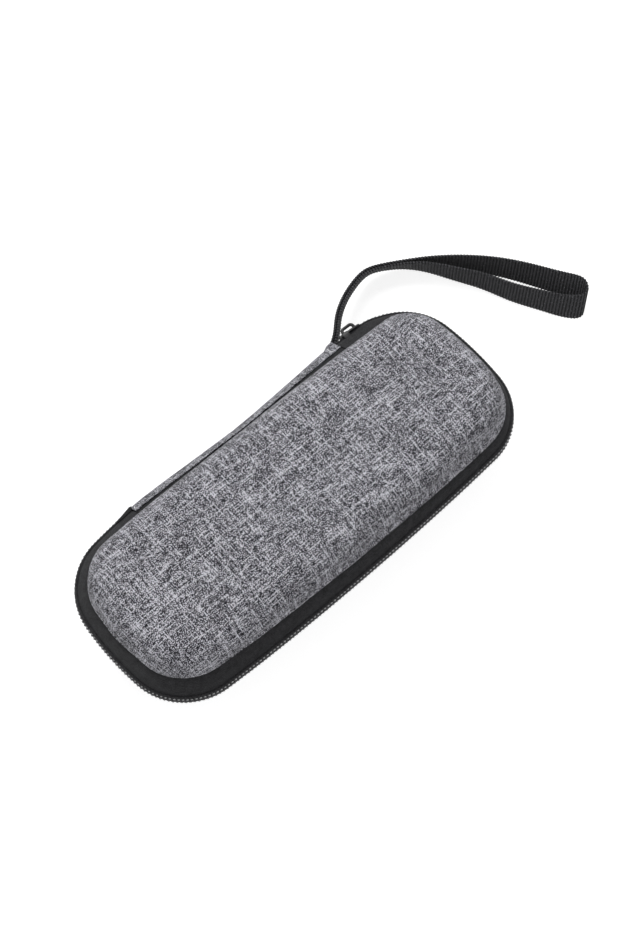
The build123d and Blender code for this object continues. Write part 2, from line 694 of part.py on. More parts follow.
# Elastic band across the base, its ends turned down against the lining
flap_in = wall_inset(CAVITY_DEPTH + BINDING_GAP + INSIDE_GAP, BAND_RISE) + BINDING_THICKNESS
flap_low_in = wall_inset(CAVITY_DEPTH + BINDING_GAP + INSIDE_GAP, BAND_FLAP_RISE) + BINDING_THICKNESS
band_drop = LONG_ARC - sqrt(LONG_ARC**2 - (abs(BAND_X) + BAND_WIDTH / 2) ** 2)
band_half = HALF_WIDTH - flap_in - band_drop
band_low_half = HALF_WIDTH - flap_low_in - band_drop
with BuildPart() as base_elastic_band:
    with BuildSketch(Plane.YZ.offset(BAND_X)):
        with BuildLine():
            Polyline(
                (0, ZIP_Z - BAND_RISE),
                (band_half, ZIP_Z - BAND_RISE),
                (band_low_half, ZIP_Z - BAND_FLAP_RISE),
                (band_low_half - BAND_THICKNESS, ZIP_Z - BAND_FLAP_RISE),
                (band_half - BAND_THICKNESS, ZIP_Z - BAND_RISE - BAND_THICKNESS),
                (0, ZIP_Z - BAND_RISE - BAND_THICKNESS),
                close=True,
            )
        make_face()
        mirror(about=Plane.YZ)
    extrude(amount=BAND_WIDTH / 2, both=True)
base_elastic_band.part.label = "base_elastic_band"
export_step(base_elastic_band.part, "parts/base_elastic_band.step")

# Collar of cover fabric round the root of the strap, its slot turned the way the strap leaves
root, after_root = placed(STRAP_DOUBLED[:2])
slot_angle = degrees(atan2(after_root.Y - root.Y, after_root.X - root.X))
slot_half = STRAP_LAYER_STEP + STRAP_THICKNESS / 2 + COLLAR_GAP
collar_out = root.Y + slot_half
collar_in = hinge_side_y(HINGE_UPPER_END - COLLAR_LENGTH) - HINGE_FABRIC_INSET + COLLAR_GAP
collar_low = root.Z - STRAP_WIDTH / 2 - COLLAR_GAP
collar_high = root.Z + STRAP_WIDTH / 2 + COLLAR_GAP
with BuildPart() as strap_collar:
    with BuildSketch(Plane.YZ.offset(HINGE_UPPER_END - COLLAR_LENGTH)):
        with BuildLine():
            Polyline(
                (collar_in, collar_low - COLLAR_THICKNESS),
                (collar_in, collar_high + COLLAR_THICKNESS),
                (collar_out, collar_high + COLLAR_THICKNESS),
                (collar_out + COLLAR_THICKNESS, collar_high),
                (collar_out + COLLAR_THICKNESS, collar_low),
                (collar_out, collar_low - COLLAR_THICKNESS),
                close=True,
            )
        make_face()
    extrude(amount=COLLAR_LENGTH)
    with BuildSketch(Plane.XY.offset(collar_low)):
        with Locations(Location((root.X, root.Y), slot_angle)):
            with Locations((-COLLAR_GAP, 0)):
                Rectangle(2 * COLLAR_LENGTH, 2 * slot_half, align=(Align.MIN, Align.CENTER))
    extrude(amount=collar_high - collar_low, mode=Mode.SUBTRACT)
strap_collar.part.label = "strap_collar"
export_step(strap_collar.part, "parts/strap_collar.step")
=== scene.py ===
"""Looks of a padded travel case: heathered fabric, zip, hinge, inside and wrist strap.

Sizes are in millimetres until a mesh is made. A cross-section is given by the inset from
the zip's outer outline and the rise above or below the zip's plane.
"""

import logging
import math
from dataclasses import dataclass
from enum import Enum
from typing import Callable

import bmesh
import bpy
import numpy as np
from mathutils import Matrix, Vector


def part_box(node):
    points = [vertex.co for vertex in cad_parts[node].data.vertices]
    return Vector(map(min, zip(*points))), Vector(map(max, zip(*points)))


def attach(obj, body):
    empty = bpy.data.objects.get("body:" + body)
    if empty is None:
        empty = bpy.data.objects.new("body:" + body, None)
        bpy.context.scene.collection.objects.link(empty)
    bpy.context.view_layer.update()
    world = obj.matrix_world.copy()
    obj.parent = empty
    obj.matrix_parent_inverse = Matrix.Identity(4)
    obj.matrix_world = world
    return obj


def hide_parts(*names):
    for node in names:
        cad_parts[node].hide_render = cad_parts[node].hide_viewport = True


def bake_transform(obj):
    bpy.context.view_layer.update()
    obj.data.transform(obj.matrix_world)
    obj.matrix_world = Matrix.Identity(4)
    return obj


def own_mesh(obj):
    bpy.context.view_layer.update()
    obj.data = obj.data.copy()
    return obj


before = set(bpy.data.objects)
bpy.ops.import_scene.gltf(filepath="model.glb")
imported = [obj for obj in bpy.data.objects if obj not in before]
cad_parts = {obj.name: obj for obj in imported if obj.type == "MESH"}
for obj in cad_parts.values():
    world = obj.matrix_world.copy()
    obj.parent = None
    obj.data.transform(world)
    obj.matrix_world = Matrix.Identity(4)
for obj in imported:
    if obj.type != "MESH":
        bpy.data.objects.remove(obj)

Array = np.ndarray
Piece = bpy.types.Object
Triple = tuple[float, float, float]
Table = tuple[tuple[float, ...], ...]
Section = Callable[[int], Array]

LOG = logging.getLogger("travel_case")
MM = 0.001
TURN = 2 * math.pi
ZIP_Z = 26.0
RIM_RISE = 3.5
SHOULDER_RISE = 12.0
BASE_SEAM_RISE = 10.4

# Bearing in degrees about the case's middle, and the rise of the lid fabric's edge there
SEAM_RISES: Table = (
    (0, 8.9), (35, 9.4), (46, 10.0), (52, 11.6), (58, 12.2), (90, 12.4), (118, 12.2), (128, 12.0),
    (134, 11.8), (146, 11.4), (160, 11.0), (180, 11.0), (200, 12.7), (214, 13.1), (226, 12.8),
    (234, 11.7), (242, 10.8), (250, 10.5), (258, 10.2), (268, 9.6), (280, 9.2), (290, 8.7),
    (299, 8.1), (326, 7.95), (340, 8.8), (360, 8.9),
)
# Bearing, and how far the lid's dome is drawn in above its rim
DOME_DRAWS: Table = (
    (0, 0.8), (10, 0.9), (21, 1.1), (35, 1.6), (46, 2.2), (52, 3.2), (58, 3.3), (63, 3.2),
    (70, 3.3), (90, 3.3), (97, 3.1), (104, 2.8), (110, 2.4), (117, 1.9), (128, 1.3), (180, 0.0),
    (270, 0.0), (325, 0.2), (349, 0.5), (360, 0.8),
)
# Bearing, and how far the zip's chain stands out of its outline
CHAIN_OUTS: Table = (
    (0, 0.2), (21, 0.25), (35, 0.3), (46, 0.2), (49, 0.4), (51, 0.9), (52.5, 1.2), (54, 1.2),
    (55.5, 1.0), (60, 0.9), (110, 0.4), (117, 1.0), (122, 0.9), (128, 0.3), (140, 0.1),
    (180, 0.15), (226, 0.2), (240, 0.6), (300, 0.6), (320, 0.3), (360, 0.2),
)
# X on the hinge side, and how far the hinge strip lies inside the outline
HINGE_PINCHES: Table = (
    (-54, -1.9), (-49, -1.9), (-36, -1.1), (-24, -0.2), (-12, 0.5), (0, 1.1), (12, 0.9),
    (24, 0.3), (36, -0.4), (49, -1.5), (58, -1.9),
)
# Distance from the zip's plane, and the share of that pinch which reaches it
PINCH_SHARES: Table = ((0, 1), (4, 1), (9.5, 0.35), (10.6, 0.2))
# Rise, width, depth and centre's inset of one element of the zip
ELEMENT: Table = (
    (-1.15, 0.25, 0.3, 0.75), (-1.05, 0.66, 0.8, 0.72), (-0.75, 0.86, 1.1, 0.66),
    (-0.3, 0.86, 1.1, 0.66), (0.2, 0.74, 1.05, 0.62), (0.9, 0.70, 1.0, 0.60),
    (1.8, 0.70, 1.0, 0.62), (2.4, 0.72, 0.95, 0.72), (2.75, 0.62, 0.8, 0.95),
    (2.9, 0.25, 0.3, 1.05),
)
# Place along one stitch, and its radius there
STITCH: Table = (
    (-0.46, 0.06), (-0.43, 0.18), (-0.3, 0.27), (0.0, 0.30),
    (0.3, 0.27), (0.43, 0.18), (0.46, 0.06),
)
# Middle of the doubled webbing, then of its loop: X, Y from the hinge side, height as a share
# of the root's, and lean
DOUBLED: Table = (
    (56.0, 0.8, 1.0, -0.30), (59.7, 3.7, 0.97, -0.42), (64.0, 6.4, 0.93, -0.42),
    (71.3, 12.8, 0.78, -0.42), (80.3, 18.7, 0.61, -0.42), (90.0, 22.4, 0.44, -0.42),
    (98.6, 23.6, 0.29, -0.42), (106.4, 21.0, 0.16, -0.40), (113.6, 16.6, 0.10, -0.31),
)
LOOP: Table = (
    (122.8, 10.4, 0.075, -0.13), (134.0, -0.2, 0.055, 0.10), (144.8, -12.7, 0.045, 0.26),
    (153.2, -25.7, 0.04, 0.42), (161.0, -38.8, 0.02, 0.60), (163.5, -45.9, 0.0, 0.75),
    (159.8, -50.1, 0.0, 0.75), (153.8, -46.6, 0.02, 0.55), (147.4, -37.3, 0.04, 0.35),
    (140.3, -25.3, 0.045, 0.22), (134.5, -12.9, 0.055, 0.12), (127.6, -1.7, 0.065, 0.0),
    (120.3, 9.2, 0.075, -0.16),
)


class Half(Enum):
    """The two halves of the case, by the way they reach from the zip's plane."""

    LID = 1
    BASE = -1

    @property
    def word(self) -> str:
        """Name of the half in piece names and bodies."""
        return self.name.lower()


# Outline and cross-section


@dataclass(frozen=True)
class Outline:
    """Bowed outline with round corners, counterclockwise from the hinge side's middle."""

    length: float = 200.0
    width: float = 84.7
    long_bow: float = 3.6
    short_bow: float = 6.5
    corner: float = 27.8

    def radii(self) -> tuple[float, float]:
        """Radii of the long and the short sides."""
        sides = (self.length / 2, self.long_bow), (self.width / 2, self.short_bow)
        return tuple((half**2 + bow**2) / (2 * bow) for half, bow in sides)

    def arcs(self) -> list[tuple[float, float, float, float, float]]:
        """Arcs of the outline.

        Returns:
            Centre X, centre Y, radius, start and end angle of each, in radians.
        """
        long_r, short_r = self.radii()
        long_y, short_x = self.width / 2 - long_r, self.length / 2 - short_r
        to_long, to_short = long_r - self.corner, short_r - self.corner
        apart = math.hypot(short_x, long_y)
        along = (to_long**2 - to_short**2 + apart**2) / (2 * apart)
        aside = math.sqrt(to_long**2 - along**2)
        ways = []
        for turn in (1, -1):
            x = (along * short_x + turn * aside * -long_y) / apart
            y = long_y + (along * -long_y - turn * aside * short_x) / apart
            ways.append((x, y))
        cx, cy = max(ways, key=min)
        la, sa = math.atan2(cy - long_y, cx), math.atan2(cy, cx - short_x)
        pi, c = math.pi, self.corner
        return [
            (0, long_y, long_r, pi / 2, pi - la),
            (-cx, cy, c, pi - la, pi - sa),
            (-short_x, 0, short_r, pi - sa, pi + sa),
            (-cx, -cy, c, pi + sa, pi + la),
            (0, -long_y, long_r, pi + la, 2 * pi - la),
            (cx, -cy, c, 2 * pi - la, 2 * pi - sa),
            (short_x, 0, short_r, 2 * pi - sa, 2 * pi + sa),
            (cx, cy, c, sa, la),
            (0, long_y, long_r, la, pi / 2),
        ]

    def around(self) -> float:
        """Length of the whole outline."""
        return sum(r * (b - a) for _, _, r, a, b in self.arcs())

    def at(self, run: Array) -> tuple[Array, Array]:
        """Points and outward normals at distances run along the outline.

        Args:
            run: Distances from the hinge side's middle.

        Returns:
            Points and normals, each as rows of X and Y.
        """
        points, normals = np.zeros((len(run), 2)), np.zeros((len(run), 2))
        start, arcs = 0.0, self.arcs()
        for number, (cx, cy, r, a, b) in enumerate(arcs):
            long = r * (b - a)
            last = number == len(arcs) - 1
            here = (run >= start) & ((run < start + long) | last)
            angle = a + (run[here] - start) / r
            normals[here] = np.stack([np.cos(angle), np.sin(angle)], 1)
            points[here] = np.array([cx, cy]) + r * normals[here]
            start += long
        return points, normals

    def run_of_hinge_x(self, x: float) -> float:
        """Distance run to the place x on the hinge side."""
        out = self.radii()[0] * math.asin(abs(x) / self.radii()[0])
        return out if x <= 0 else self.around() - out

    def corner_end(self) -> float:
        """Distance run to the end of the last corner, where the hinge side starts again."""
        *_, (_, _, r, a, b) = self.arcs()
        return self.around() - r * (b - a)


OUTLINE = Outline()


@dataclass(frozen=True)
class Wall:
    """Cross-section of a half: a slope from the rim, a shoulder, a round crown and a flat top.

    Above turn_rise a face's rows don't depend on its lower edge; cap is the last row's inset.
    """

    height: float
    rim_inset: float = 1.9
    shoulder_inset: float = 6.0
    crown: float = 12.5
    turn_rise: float = 16.0
    cap: float = 24.4
    slope_rows: int = 8
    crown_rows: int = 15
    flat_rows: int = 4

    def inset(self, depth: float, rise: Array | float) -> Array:
        """Insets of the face that lies depth under the outer one.

        Args:
            depth: How far it lies under the outer face.
            rise: Rises above the zip's plane.

        Returns:
            The inset at each rise.
        """
        rise = np.asarray(rise, float)
        slope = math.atan((self.shoulder_inset - self.rim_inset) / (SHOULDER_RISE - RIM_RISE))
        sloped = self.rim_inset + depth / math.cos(slope) + (rise - RIM_RISE) * math.tan(slope)
        radius = self.crown - depth
        up = np.clip((rise - (self.height - self.crown)) / radius, 0, 1)
        upright = self.shoulder_inset + depth + radius * (1 - np.sqrt(1 - up**2))
        return np.where(up > 0, upright, np.minimum(sloped, self.shoulder_inset + depth))

    def face(self, depth: float, start: float) -> Array:
        """Points of a face from its lower edge, over the crown and in to the cap.

        Args:
            depth: How far the face lies under the outer one.
            start: Rise of its lower edge.

        Returns:
            Rows of inset, rise and distance out from the flat top's edge.
        """
        low = np.linspace(start, self.turn_rise, self.slope_rows + 1)[:-1]
        radius, base = self.crown - depth, self.height - self.crown
        first = math.asin((self.turn_rise - base) / radius)
        angles = np.linspace(first, math.pi / 2, self.crown_rows)
        crown_inset = self.shoulder_inset + depth + radius * (1 - np.cos(angles))
        flat = np.linspace(self.shoulder_inset + self.crown, self.cap, self.flat_rows + 1)[1:]
        inset = np.concatenate([self.inset(depth, low), crown_inset, flat])
        top = np.full(self.flat_rows, self.height - depth)
        rise = np.concatenate([low, base + radius * np.sin(angles), top])
        girth = run_along(np.stack([inset, rise], 1))
        edge = girth[len(low) + len(angles) - 1]
        return np.stack([inset, rise, edge - girth], 1)


WALLS = {Half.LID: Wall(25.0), Half.BASE: Wall(26.0)}


def between(table: Table, at: Array) -> Array:
    """Values of a table of places and values at some places, straight between its rows."""
    return np.interp(at, *zip(*table))


def bearing(points: Array) -> Array:
    """Turn of each place about the case's middle, in degrees, with the outline made round."""
    half_w, half_l = OUTLINE.width / 2, OUTLINE.length / 2
    return np.degrees(np.arctan2(points[:, 1] / half_w, points[:, 0] / half_l)) % 360


def seam_rise(points: Array, half: Half) -> Array:
    """Rise of a half's fabric edge at places on the outline; the lid's wavers as it was sewn."""
    lid = between(SEAM_RISES, bearing(points))
    return lid if half is Half.LID else np.full(len(points), BASE_SEAM_RISE)


def hinge_draw(points: Array, half: Half) -> Array:
    """How far a half's dome is drawn in at places on the outline, only on the lid."""
    return between(DOME_DRAWS, bearing(points)) * (half is Half.LID)


def chain_out(points: Array) -> Array:
    """How far the zip's chain stands out at places on the outline, most past the slider."""
    return between(CHAIN_OUTS, bearing(points))


def drawn(inset: Array | float, rise: Array | float, draw: Array | float) -> Array:
    """Insets moved in by a draw that grows from the rim to the shoulder."""
    return inset + draw * np.clip((np.abs(rise) - RIM_RISE) / (SHOULDER_RISE - RIM_RISE), 0, 1)


def path_at(run: Array, inset: float | Array, rise: float) -> Array:
    """A line along the outline at one rise, with one inset or an inset for each place."""
    points, normals = OUTLINE.at(run)
    return np.c_[points - np.reshape(inset, (-1, 1)) * normals, np.full(len(run), ZIP_Z + rise)]


def stretch(start: float, end: float, step: float) -> Array:
    """Distances from start to end of the outline, about one step apart."""
    return np.linspace(start, end, max(3, math.ceil(abs(end - start) / step) + 1))


# Lines and sections


def unit(rows: Array) -> Array:
    """Rows made one long."""
    return rows / np.linalg.norm(rows, axis=1)[:, None]


def run_along(line: Array) -> Array:
    """Distance run to each point of a line."""
    return np.concatenate([[0], np.cumsum(np.linalg.norm(np.diff(line, axis=0), axis=1))])


def girth_of(section: Array) -> Array:
    """Distance run round a closed section, back to its first point."""
    return run_along(np.vstack([section, section[:1]]))


def grid(rows: Array, columns: Array) -> Array:
    """UV of every row and column."""
    return np.stack(np.meshgrid(rows, columns, indexing="ij"), 2)


def rounded(section: list[tuple[float, float]], radius: float, steps: int = 3) -> Array:
    """A closed section with its corners rounded.

    Args:
        section: Corners of the section.
        radius: Most that a corner is cut back, up to 0.45 of a side.
        steps: Points in each corner.

    Returns:
        The rounded section's points.
    """
    corners = np.array(section, float)
    made = []
    for before, here, after in zip(np.roll(corners, 1, 0), corners, np.roll(corners, -1, 0)):
        ends = []
        for way in (before - here, after - here):
            long = np.linalg.norm(way)
            ends.append(here + way / long * min(radius, 0.45 * long))
        a, b = ends
        for t in np.linspace(0, 1, steps):
            made.append((1 - t) ** 2 * a + 2 * t * (1 - t) * here + t**2 * b)
    return np.array(made)


def oblong(half_x: float, half_y: float, radius: float) -> Array:
    """A rectangular section about the origin, with its corners rounded."""
    corners = [(-half_x, -half_y), (half_x, -half_y), (half_x, half_y), (-half_x, half_y)]
    return rounded(corners, radius, 4)


def smooth_line(knots: Array, count: int) -> tuple[Array, Array]:
    """A natural cubic through knots of any number of values.

    Args:
        knots: Rows of values; the first three are X, Y and Z.
        count: Points wanted.

    Returns:
        The points and the distance run to each.
    """
    chord = run_along(knots[:, :3])
    size, gaps = len(chord), np.diff(chord)
    system, right = np.eye(size), np.zeros((size, knots.shape[1]))
    for i in range(1, size - 1):
        system[i, i - 1 : i + 2] = gaps[i - 1], 2 * (gaps[i - 1] + gaps[i]), gaps[i]
        slope = (knots[i + 1] - knots[i]) / gaps[i] - (knots[i] - knots[i - 1]) / gaps[i - 1]
        right[i] = 6 * slope
    bend = np.linalg.solve(system, right)
    t = np.linspace(0, chord[-1], count)
    i = np.clip(np.searchsorted(chord, t, side="right") - 1, 0, size - 2)
    h, a, b = gaps[i][:, None], (chord[i + 1] - t)[:, None], (t - chord[i])[:, None]
    points = (bend[i] * a**3 + bend[i + 1] * b**3) / (6 * h)
    points += (knots[i] / h - bend[i] * h / 6) * a + (knots[i + 1] / h - bend[i + 1] * h / 6) * b
    return points, run_along(points[:, :3])


# Meshes


class Form(Enum):
    """Whether a lattice's rows and columns join up; the way that doesn't is capped."""

    ROD = (False, True)
    RING = (True, True)
    SHELL = (True, False)


def added(name: str, data: bpy.types.ID) -> Piece:
    """A new object in the scene.

    Args:
        name: Its name.
        data: Its mesh, curve, camera or light.

    Returns:
        The object.
    """
    made = bpy.data.objects.new(name, data)
    bpy.context.scene.collection.objects.link(made)
    return made


def smooth(mesh: bpy.types.Mesh, sharp: float) -> None:
    """Shades a mesh smooth, with edges sharp above an angle in degrees."""
    mesh.shade_smooth()
    mesh.set_sharp_from_angle(angle=math.radians(sharp))


def lattice(
    name: str, points: Array, uv: Array, form: Form = Form.ROD, sharp: float = 50.0
) -> Piece:
    """A closed mesh of quads through rows and columns of points.

    Args:
        name: Name of the piece.
        points: Rows by columns of points, in millimetres.
        uv: As many rows and columns of UV, with one more where that way joins up.
        form: Which way joins up and which is capped.
        sharp: Angle in degrees above which an edge is sharp.

    Returns:
        The new object, in the scene.
    """
    rows, columns = points.shape[:2]
    rows_join, columns_join = form.value
    corners = [
        [(i, j), (i + 1, j), (i + 1, j + 1), (i, j + 1)]
        for i in range(rows if rows_join else rows - 1)
        for j in range(columns if columns_join else columns - 1)
    ]
    if not rows_join:
        corners += [[(i, j) for j in range(columns)] for i in (0, rows - 1)]
    if not columns_join:
        corners += [[(i, j) for i in range(rows)] for j in (0, columns - 1)]
    faces = [[a % rows * columns + b % columns for a, b in face] for face in corners]
    mesh = bpy.data.meshes.new(name)
    mesh.from_pydata((points.reshape(-1, 3) * MM).tolist(), [], faces)
    layer = mesh.uv_layers.new(name="UVMap")
    flat = np.array([uv[a, b] for face in corners for a, b in face], np.float32)
    layer.data.foreach_set("uv", flat.ravel())
    work = bmesh.new()
    work.from_mesh(mesh)
    bmesh.ops.recalc_face_normals(work, faces=work.faces)
    work.to_mesh(mesh)
    work.free()
    smooth(mesh, sharp)
    return added(name, mesh)


def swept(name: str, run: Array, section: Section, side: int = 1, closed: bool = False) -> Piece:
    """A closed section carried along the outline.

    Args:
        name: Name of the piece.
        run: Distances along the outline.
        section: Gives the (inset, rise) rows of the section at a station's number.
        side: 1 for up and -1 for down.
        closed: Whether the run goes all the way round.

    Returns:
        The new object, in the scene.
    """
    places, normals = OUTLINE.at(run)
    profiles = np.stack([section(i) for i in range(len(run))])
    points = np.zeros((*profiles.shape[:2], 3))
    points[..., :2] = places[:, None] - profiles[..., :1] * normals[:, None]
    points[..., 2] = ZIP_Z + side * profiles[..., 1]
    girth = np.stack([girth_of(profile) for profile in profiles])
    if closed:
        run = np.append(run, run[-1] + (run[1] - run[0]))
        girth = np.vstack([girth, girth[:1]])
    uv = np.stack([np.broadcast_to(run[:, None], girth.shape), girth], 2)
    return lattice(name, points, uv, Form.RING if closed else Form.ROD)


def tube(name: str, line: Array, radius: float, sides: int = 8) -> Piece:
    """A thread or wire along a line of points, in millimetres.

    Args:
        name: Name of the piece.
        line: Points that it follows.
        radius: Its radius.
        sides: Sides of its section.

    Returns:
        The new object, in the scene.
    """
    tangents = unit(np.gradient(line, axis=0))
    first = unit(np.cross(tangents, (0.31, 0.17, 0.93)))
    second = np.cross(tangents, first)
    angle = np.linspace(0, TURN, sides, endpoint=False)[None, :, None]
    ring = np.cos(angle) * first[:, None] + np.sin(angle) * second[:, None]
    uv = grid(run_along(line), np.linspace(0, TURN * radius, sides + 1))
    return lattice(name, line[:, None] + radius * ring, uv)


def joined(name: str, parts: list[Piece]) -> Piece:
    """Several meshes as one piece.

    Args:
        name: Name of the piece.
        parts: Objects to join; they are used up.

    Returns:
        The joined object.
    """
    work = bmesh.new()
    for part in parts:
        work.from_mesh(part.data)
    mesh = bpy.data.meshes.new(name)
    work.to_mesh(mesh)
    work.free()
    for part in parts:
        bpy.data.objects.remove(part)
    smooth(mesh, 50)
    return added(name, mesh)


# Shader expressions


class Bench:
    """Adds nodes to the tree of one material or world."""

    def __init__(self, owner: bpy.types.ID, output: str = "ShaderNodeOutputMaterial") -> None:
        """Starts with an output node alone.

        Args:
            owner: The material or world.
            output: Type of its output node.
        """
        owner.use_nodes = True
        self.tree = owner.node_tree
        self.tree.nodes.clear()
        self.output = self.tree.nodes.new(output)

    def node(
        self, kind: str, settings: dict | None = None, inputs: dict | None = None
    ) -> bpy.types.Node:
        """Any node, with its settings made first and then its sockets.

        Args:
            kind: Type of the node.
            settings: Values of its properties; "stops" holds a ramp's stops.
            inputs: Values or links by socket name or number.

        Returns:
            The node.
        """
        made = self.tree.nodes.new(kind)
        for key, value in (settings or {}).items():
            if key != "stops":
                setattr(made, key, value)
                continue
            ramp = made.color_ramp
            while len(ramp.elements) < len(value):
                ramp.elements.new(1.0)
            for element, (place, color) in zip(ramp.elements, value):
                element.position, element.color = place, (*color, 1.0)
        for key, value in (inputs or {}).items():
            if isinstance(value, Field):
                self.tree.links.new(value.socket, made.inputs[key])
            else:
                made.inputs[key].default_value = value
        return made

    def field(
        self, kind: str, out: str | int, settings: dict | None = None, inputs: dict | None = None
    ) -> "Field":
        """One output of a new node, as a field."""
        return Field(self, self.node(kind, settings, inputs).outputs[out])

    def uv(self) -> "Field":
        """The piece's own UV map, in millimetres."""
        return self.field("ShaderNodeUVMap", "UV", {"uv_map": "UVMap"})

    def vector(self, operation: str, first: "Field | Triple", second: "Field | Triple") -> "Field":
        """A Vector Math node of two vectors."""
        settings = {"operation": operation}
        return self.field("ShaderNodeVectorMath", "Vector", settings, {0: first, 1: second})

    def joined(self, x: "Field", y: "Field") -> "Field":
        """A vector of two values."""
        return self.field("ShaderNodeCombineXYZ", 0, {}, {0: x, 1: y})

    def noise(
        self, vector: "Field", scale: float = 1.0, detail: float = 0.0, rough: float = 0.5
    ) -> "Field":
        """Noise between 0 and 1."""
        inputs = {"Vector": vector, "Scale": scale, "Detail": detail, "Roughness": rough}
        return self.field("ShaderNodeTexNoise", 0, {}, inputs)

    def tinted(self, color: Triple, value: "Field") -> "Field":
        """A colour multiplied by a value."""
        inputs = {0: color, "Scale": value}
        return self.field("ShaderNodeVectorMath", "Vector", {"operation": "SCALE"}, inputs)

    def bump(self, height: "Field", distance: float, strength: float) -> "Field":
        """Normals bent by a height, its distance in millimetres."""
        inputs = {"Height": height, "Distance": distance * MM, "Strength": strength}
        return self.field("ShaderNodeBump", "Normal", {}, inputs)

    def close(self, shader: bpy.types.Node) -> None:
        """Joins the last shader to the output."""
        self.tree.links.new(shader.outputs[0], self.output.inputs["Surface"])


class Field:
    """One value in a node tree, to be used in Python expressions."""

    def __init__(self, bench: Bench, socket: bpy.types.NodeSocket) -> None:
        """Wraps a node's output socket, with the bench that new nodes go to."""
        self.bench, self.socket = bench, socket

    def math(self, operation: str, *values: "Field | float") -> "Field":
        """A Math node of some values."""
        inputs = dict(enumerate(values))
        return self.bench.field("ShaderNodeMath", 0, {"operation": operation}, inputs)

    def __add__(self, other: "Field | float") -> "Field":
        """Sum."""
        return self.math("ADD", self, other)

    __radd__ = __add__

    def __mul__(self, other: "Field | float") -> "Field":
        """Product."""
        return self.math("MULTIPLY", self, other)

    __rmul__ = __mul__

    def __sub__(self, other: "Field | float") -> "Field":
        """Difference."""
        return self.math("SUBTRACT", self, other)

    def __rsub__(self, other: "Field | float") -> "Field":
        """Difference from a number."""
        return self.math("SUBTRACT", other, self)

    def __abs__(self) -> "Field":
        """Size without sign."""
        return self.math("ABSOLUTE", self)

    def floor(self) -> "Field":
        """Whole part of this value."""
        return self.math("FLOOR", self)

    def wave(self, length: float) -> "Field":
        """Sine that repeats with this value at some length."""
        return self.math("SINE", self * (TURN / length))

    def at_least(self, low: float) -> "Field":
        """This value, or low where it is less."""
        return self.math("MAXIMUM", self, low)

    def clamped(self) -> "Field":
        """This value kept between 0 and 1."""
        return self.math("MINIMUM", self.at_least(0.0), 1.0)

    def step(self, low: float, high: float) -> "Field":
        """0 below low, 1 above high and smooth between."""
        inputs = {0: self, 1: low, 2: high, 3: 0.0, 4: 1.0}
        settings = {"interpolation_type": "SMOOTHSTEP"}
        return self.bench.field("ShaderNodeMapRange", 0, settings, inputs)

    def part(self, axis: int) -> "Field":
        """One part of a vector."""
        return self.bench.field("ShaderNodeSeparateXYZ", axis, {}, {0: self})


# Finishes


@dataclass(frozen=True)
class Surface:
    """What a finish is made of; each kind gives the sockets of its one glossy shader."""

    name: str

    def sockets(self, bench: Bench) -> dict:
        """Values and links of the shader's sockets."""
        raise NotImplementedError

    def material(self) -> bpy.types.Material:
        """The material, made once.

        Returns:
            The material with this surface's name.
        """
        made = bpy.data.materials.get(self.name)
        if made is None:
            made = bpy.data.materials.new(self.name)
            bench = Bench(made)
            bench.close(bench.node("ShaderNodeBsdfPrincipled", {}, self.sockets(bench)))
        return made


@dataclass(frozen=True)
class Heather(Surface):
    """Linen-look polyester: light and dark threads both ways, with slubs."""

    name: str = "heather_cloth"
    pitch: float = 0.48
    dark: Triple = (0.008, 0.008, 0.010)
    middle: Triple = (0.080, 0.078, 0.090)
    light: Triple = (0.60, 0.60, 0.65)
    level: float = 0.42
    grain: float = 2.0
    speckle: float = 3.0
    light_slubs: float = 0.38
    dark_slubs: float = 0.08

    def threads(
        self, bench: Bench, along: Field, across: Field, seed: float
    ) -> tuple[Field, Field]:
        """Lightness of the threads that run one way, each with its own.

        Args:
            bench: The material's bench.
            along: Place along the threads.
            across: Place across them.
            seed: Offset of the noise.

        Returns:
            Lightness about 0 of each thread, and of its long slubs.
        """
        thread = (across * (1.0 / self.pitch)).floor()
        grain = bench.noise(bench.joined(along * 0.5, thread * 7.31 + seed))
        slub = bench.noise(bench.joined(along * 0.085, thread * 3.77 + 2.0 * seed))
        light, dark = slub.step(0.61, 0.65), (1.0 - slub).step(0.60, 0.72)
        return (grain - 0.5) * self.grain, light * self.light_slubs - dark * self.dark_slubs

    def sockets(self, bench: Bench) -> dict:
        """Warp and weft over and under each other, with fine specks.

        Args:
            bench: The material's bench.

        Returns:
            Values and links of the shader's sockets.
        """
        uv = bench.uv()
        u, v = uv.part(0), uv.part(1)
        warp, warp_slub = self.threads(bench, u, v, 11.3)
        weft, weft_slub = self.threads(bench, v, u, 29.7)
        over = u.wave(2 * self.pitch) * v.wave(2 * self.pitch)
        share = over.step(-0.1, 0.1)
        speck = bench.noise(uv, 2.4)
        value = warp * share + weft * (1.0 - share) + warp_slub + weft_slub
        value = (value + (speck - 0.5) * self.speckle + self.level).clamped()
        stops = [(0.0, self.dark), (0.50, self.middle), (1.0, self.light)]
        return {
            "Base Color": bench.field("ShaderNodeValToRGB", "Color", {"stops": stops}, {0: value}),
            "Roughness": 0.9,
            "Specular IOR Level": 0.15,
            "Sheen Weight": 0.10,
            "Sheen Roughness": 0.5,
            "Normal": bench.bump(abs(over) + (speck - 0.5) * 0.8, 0.12, 0.6),
        }


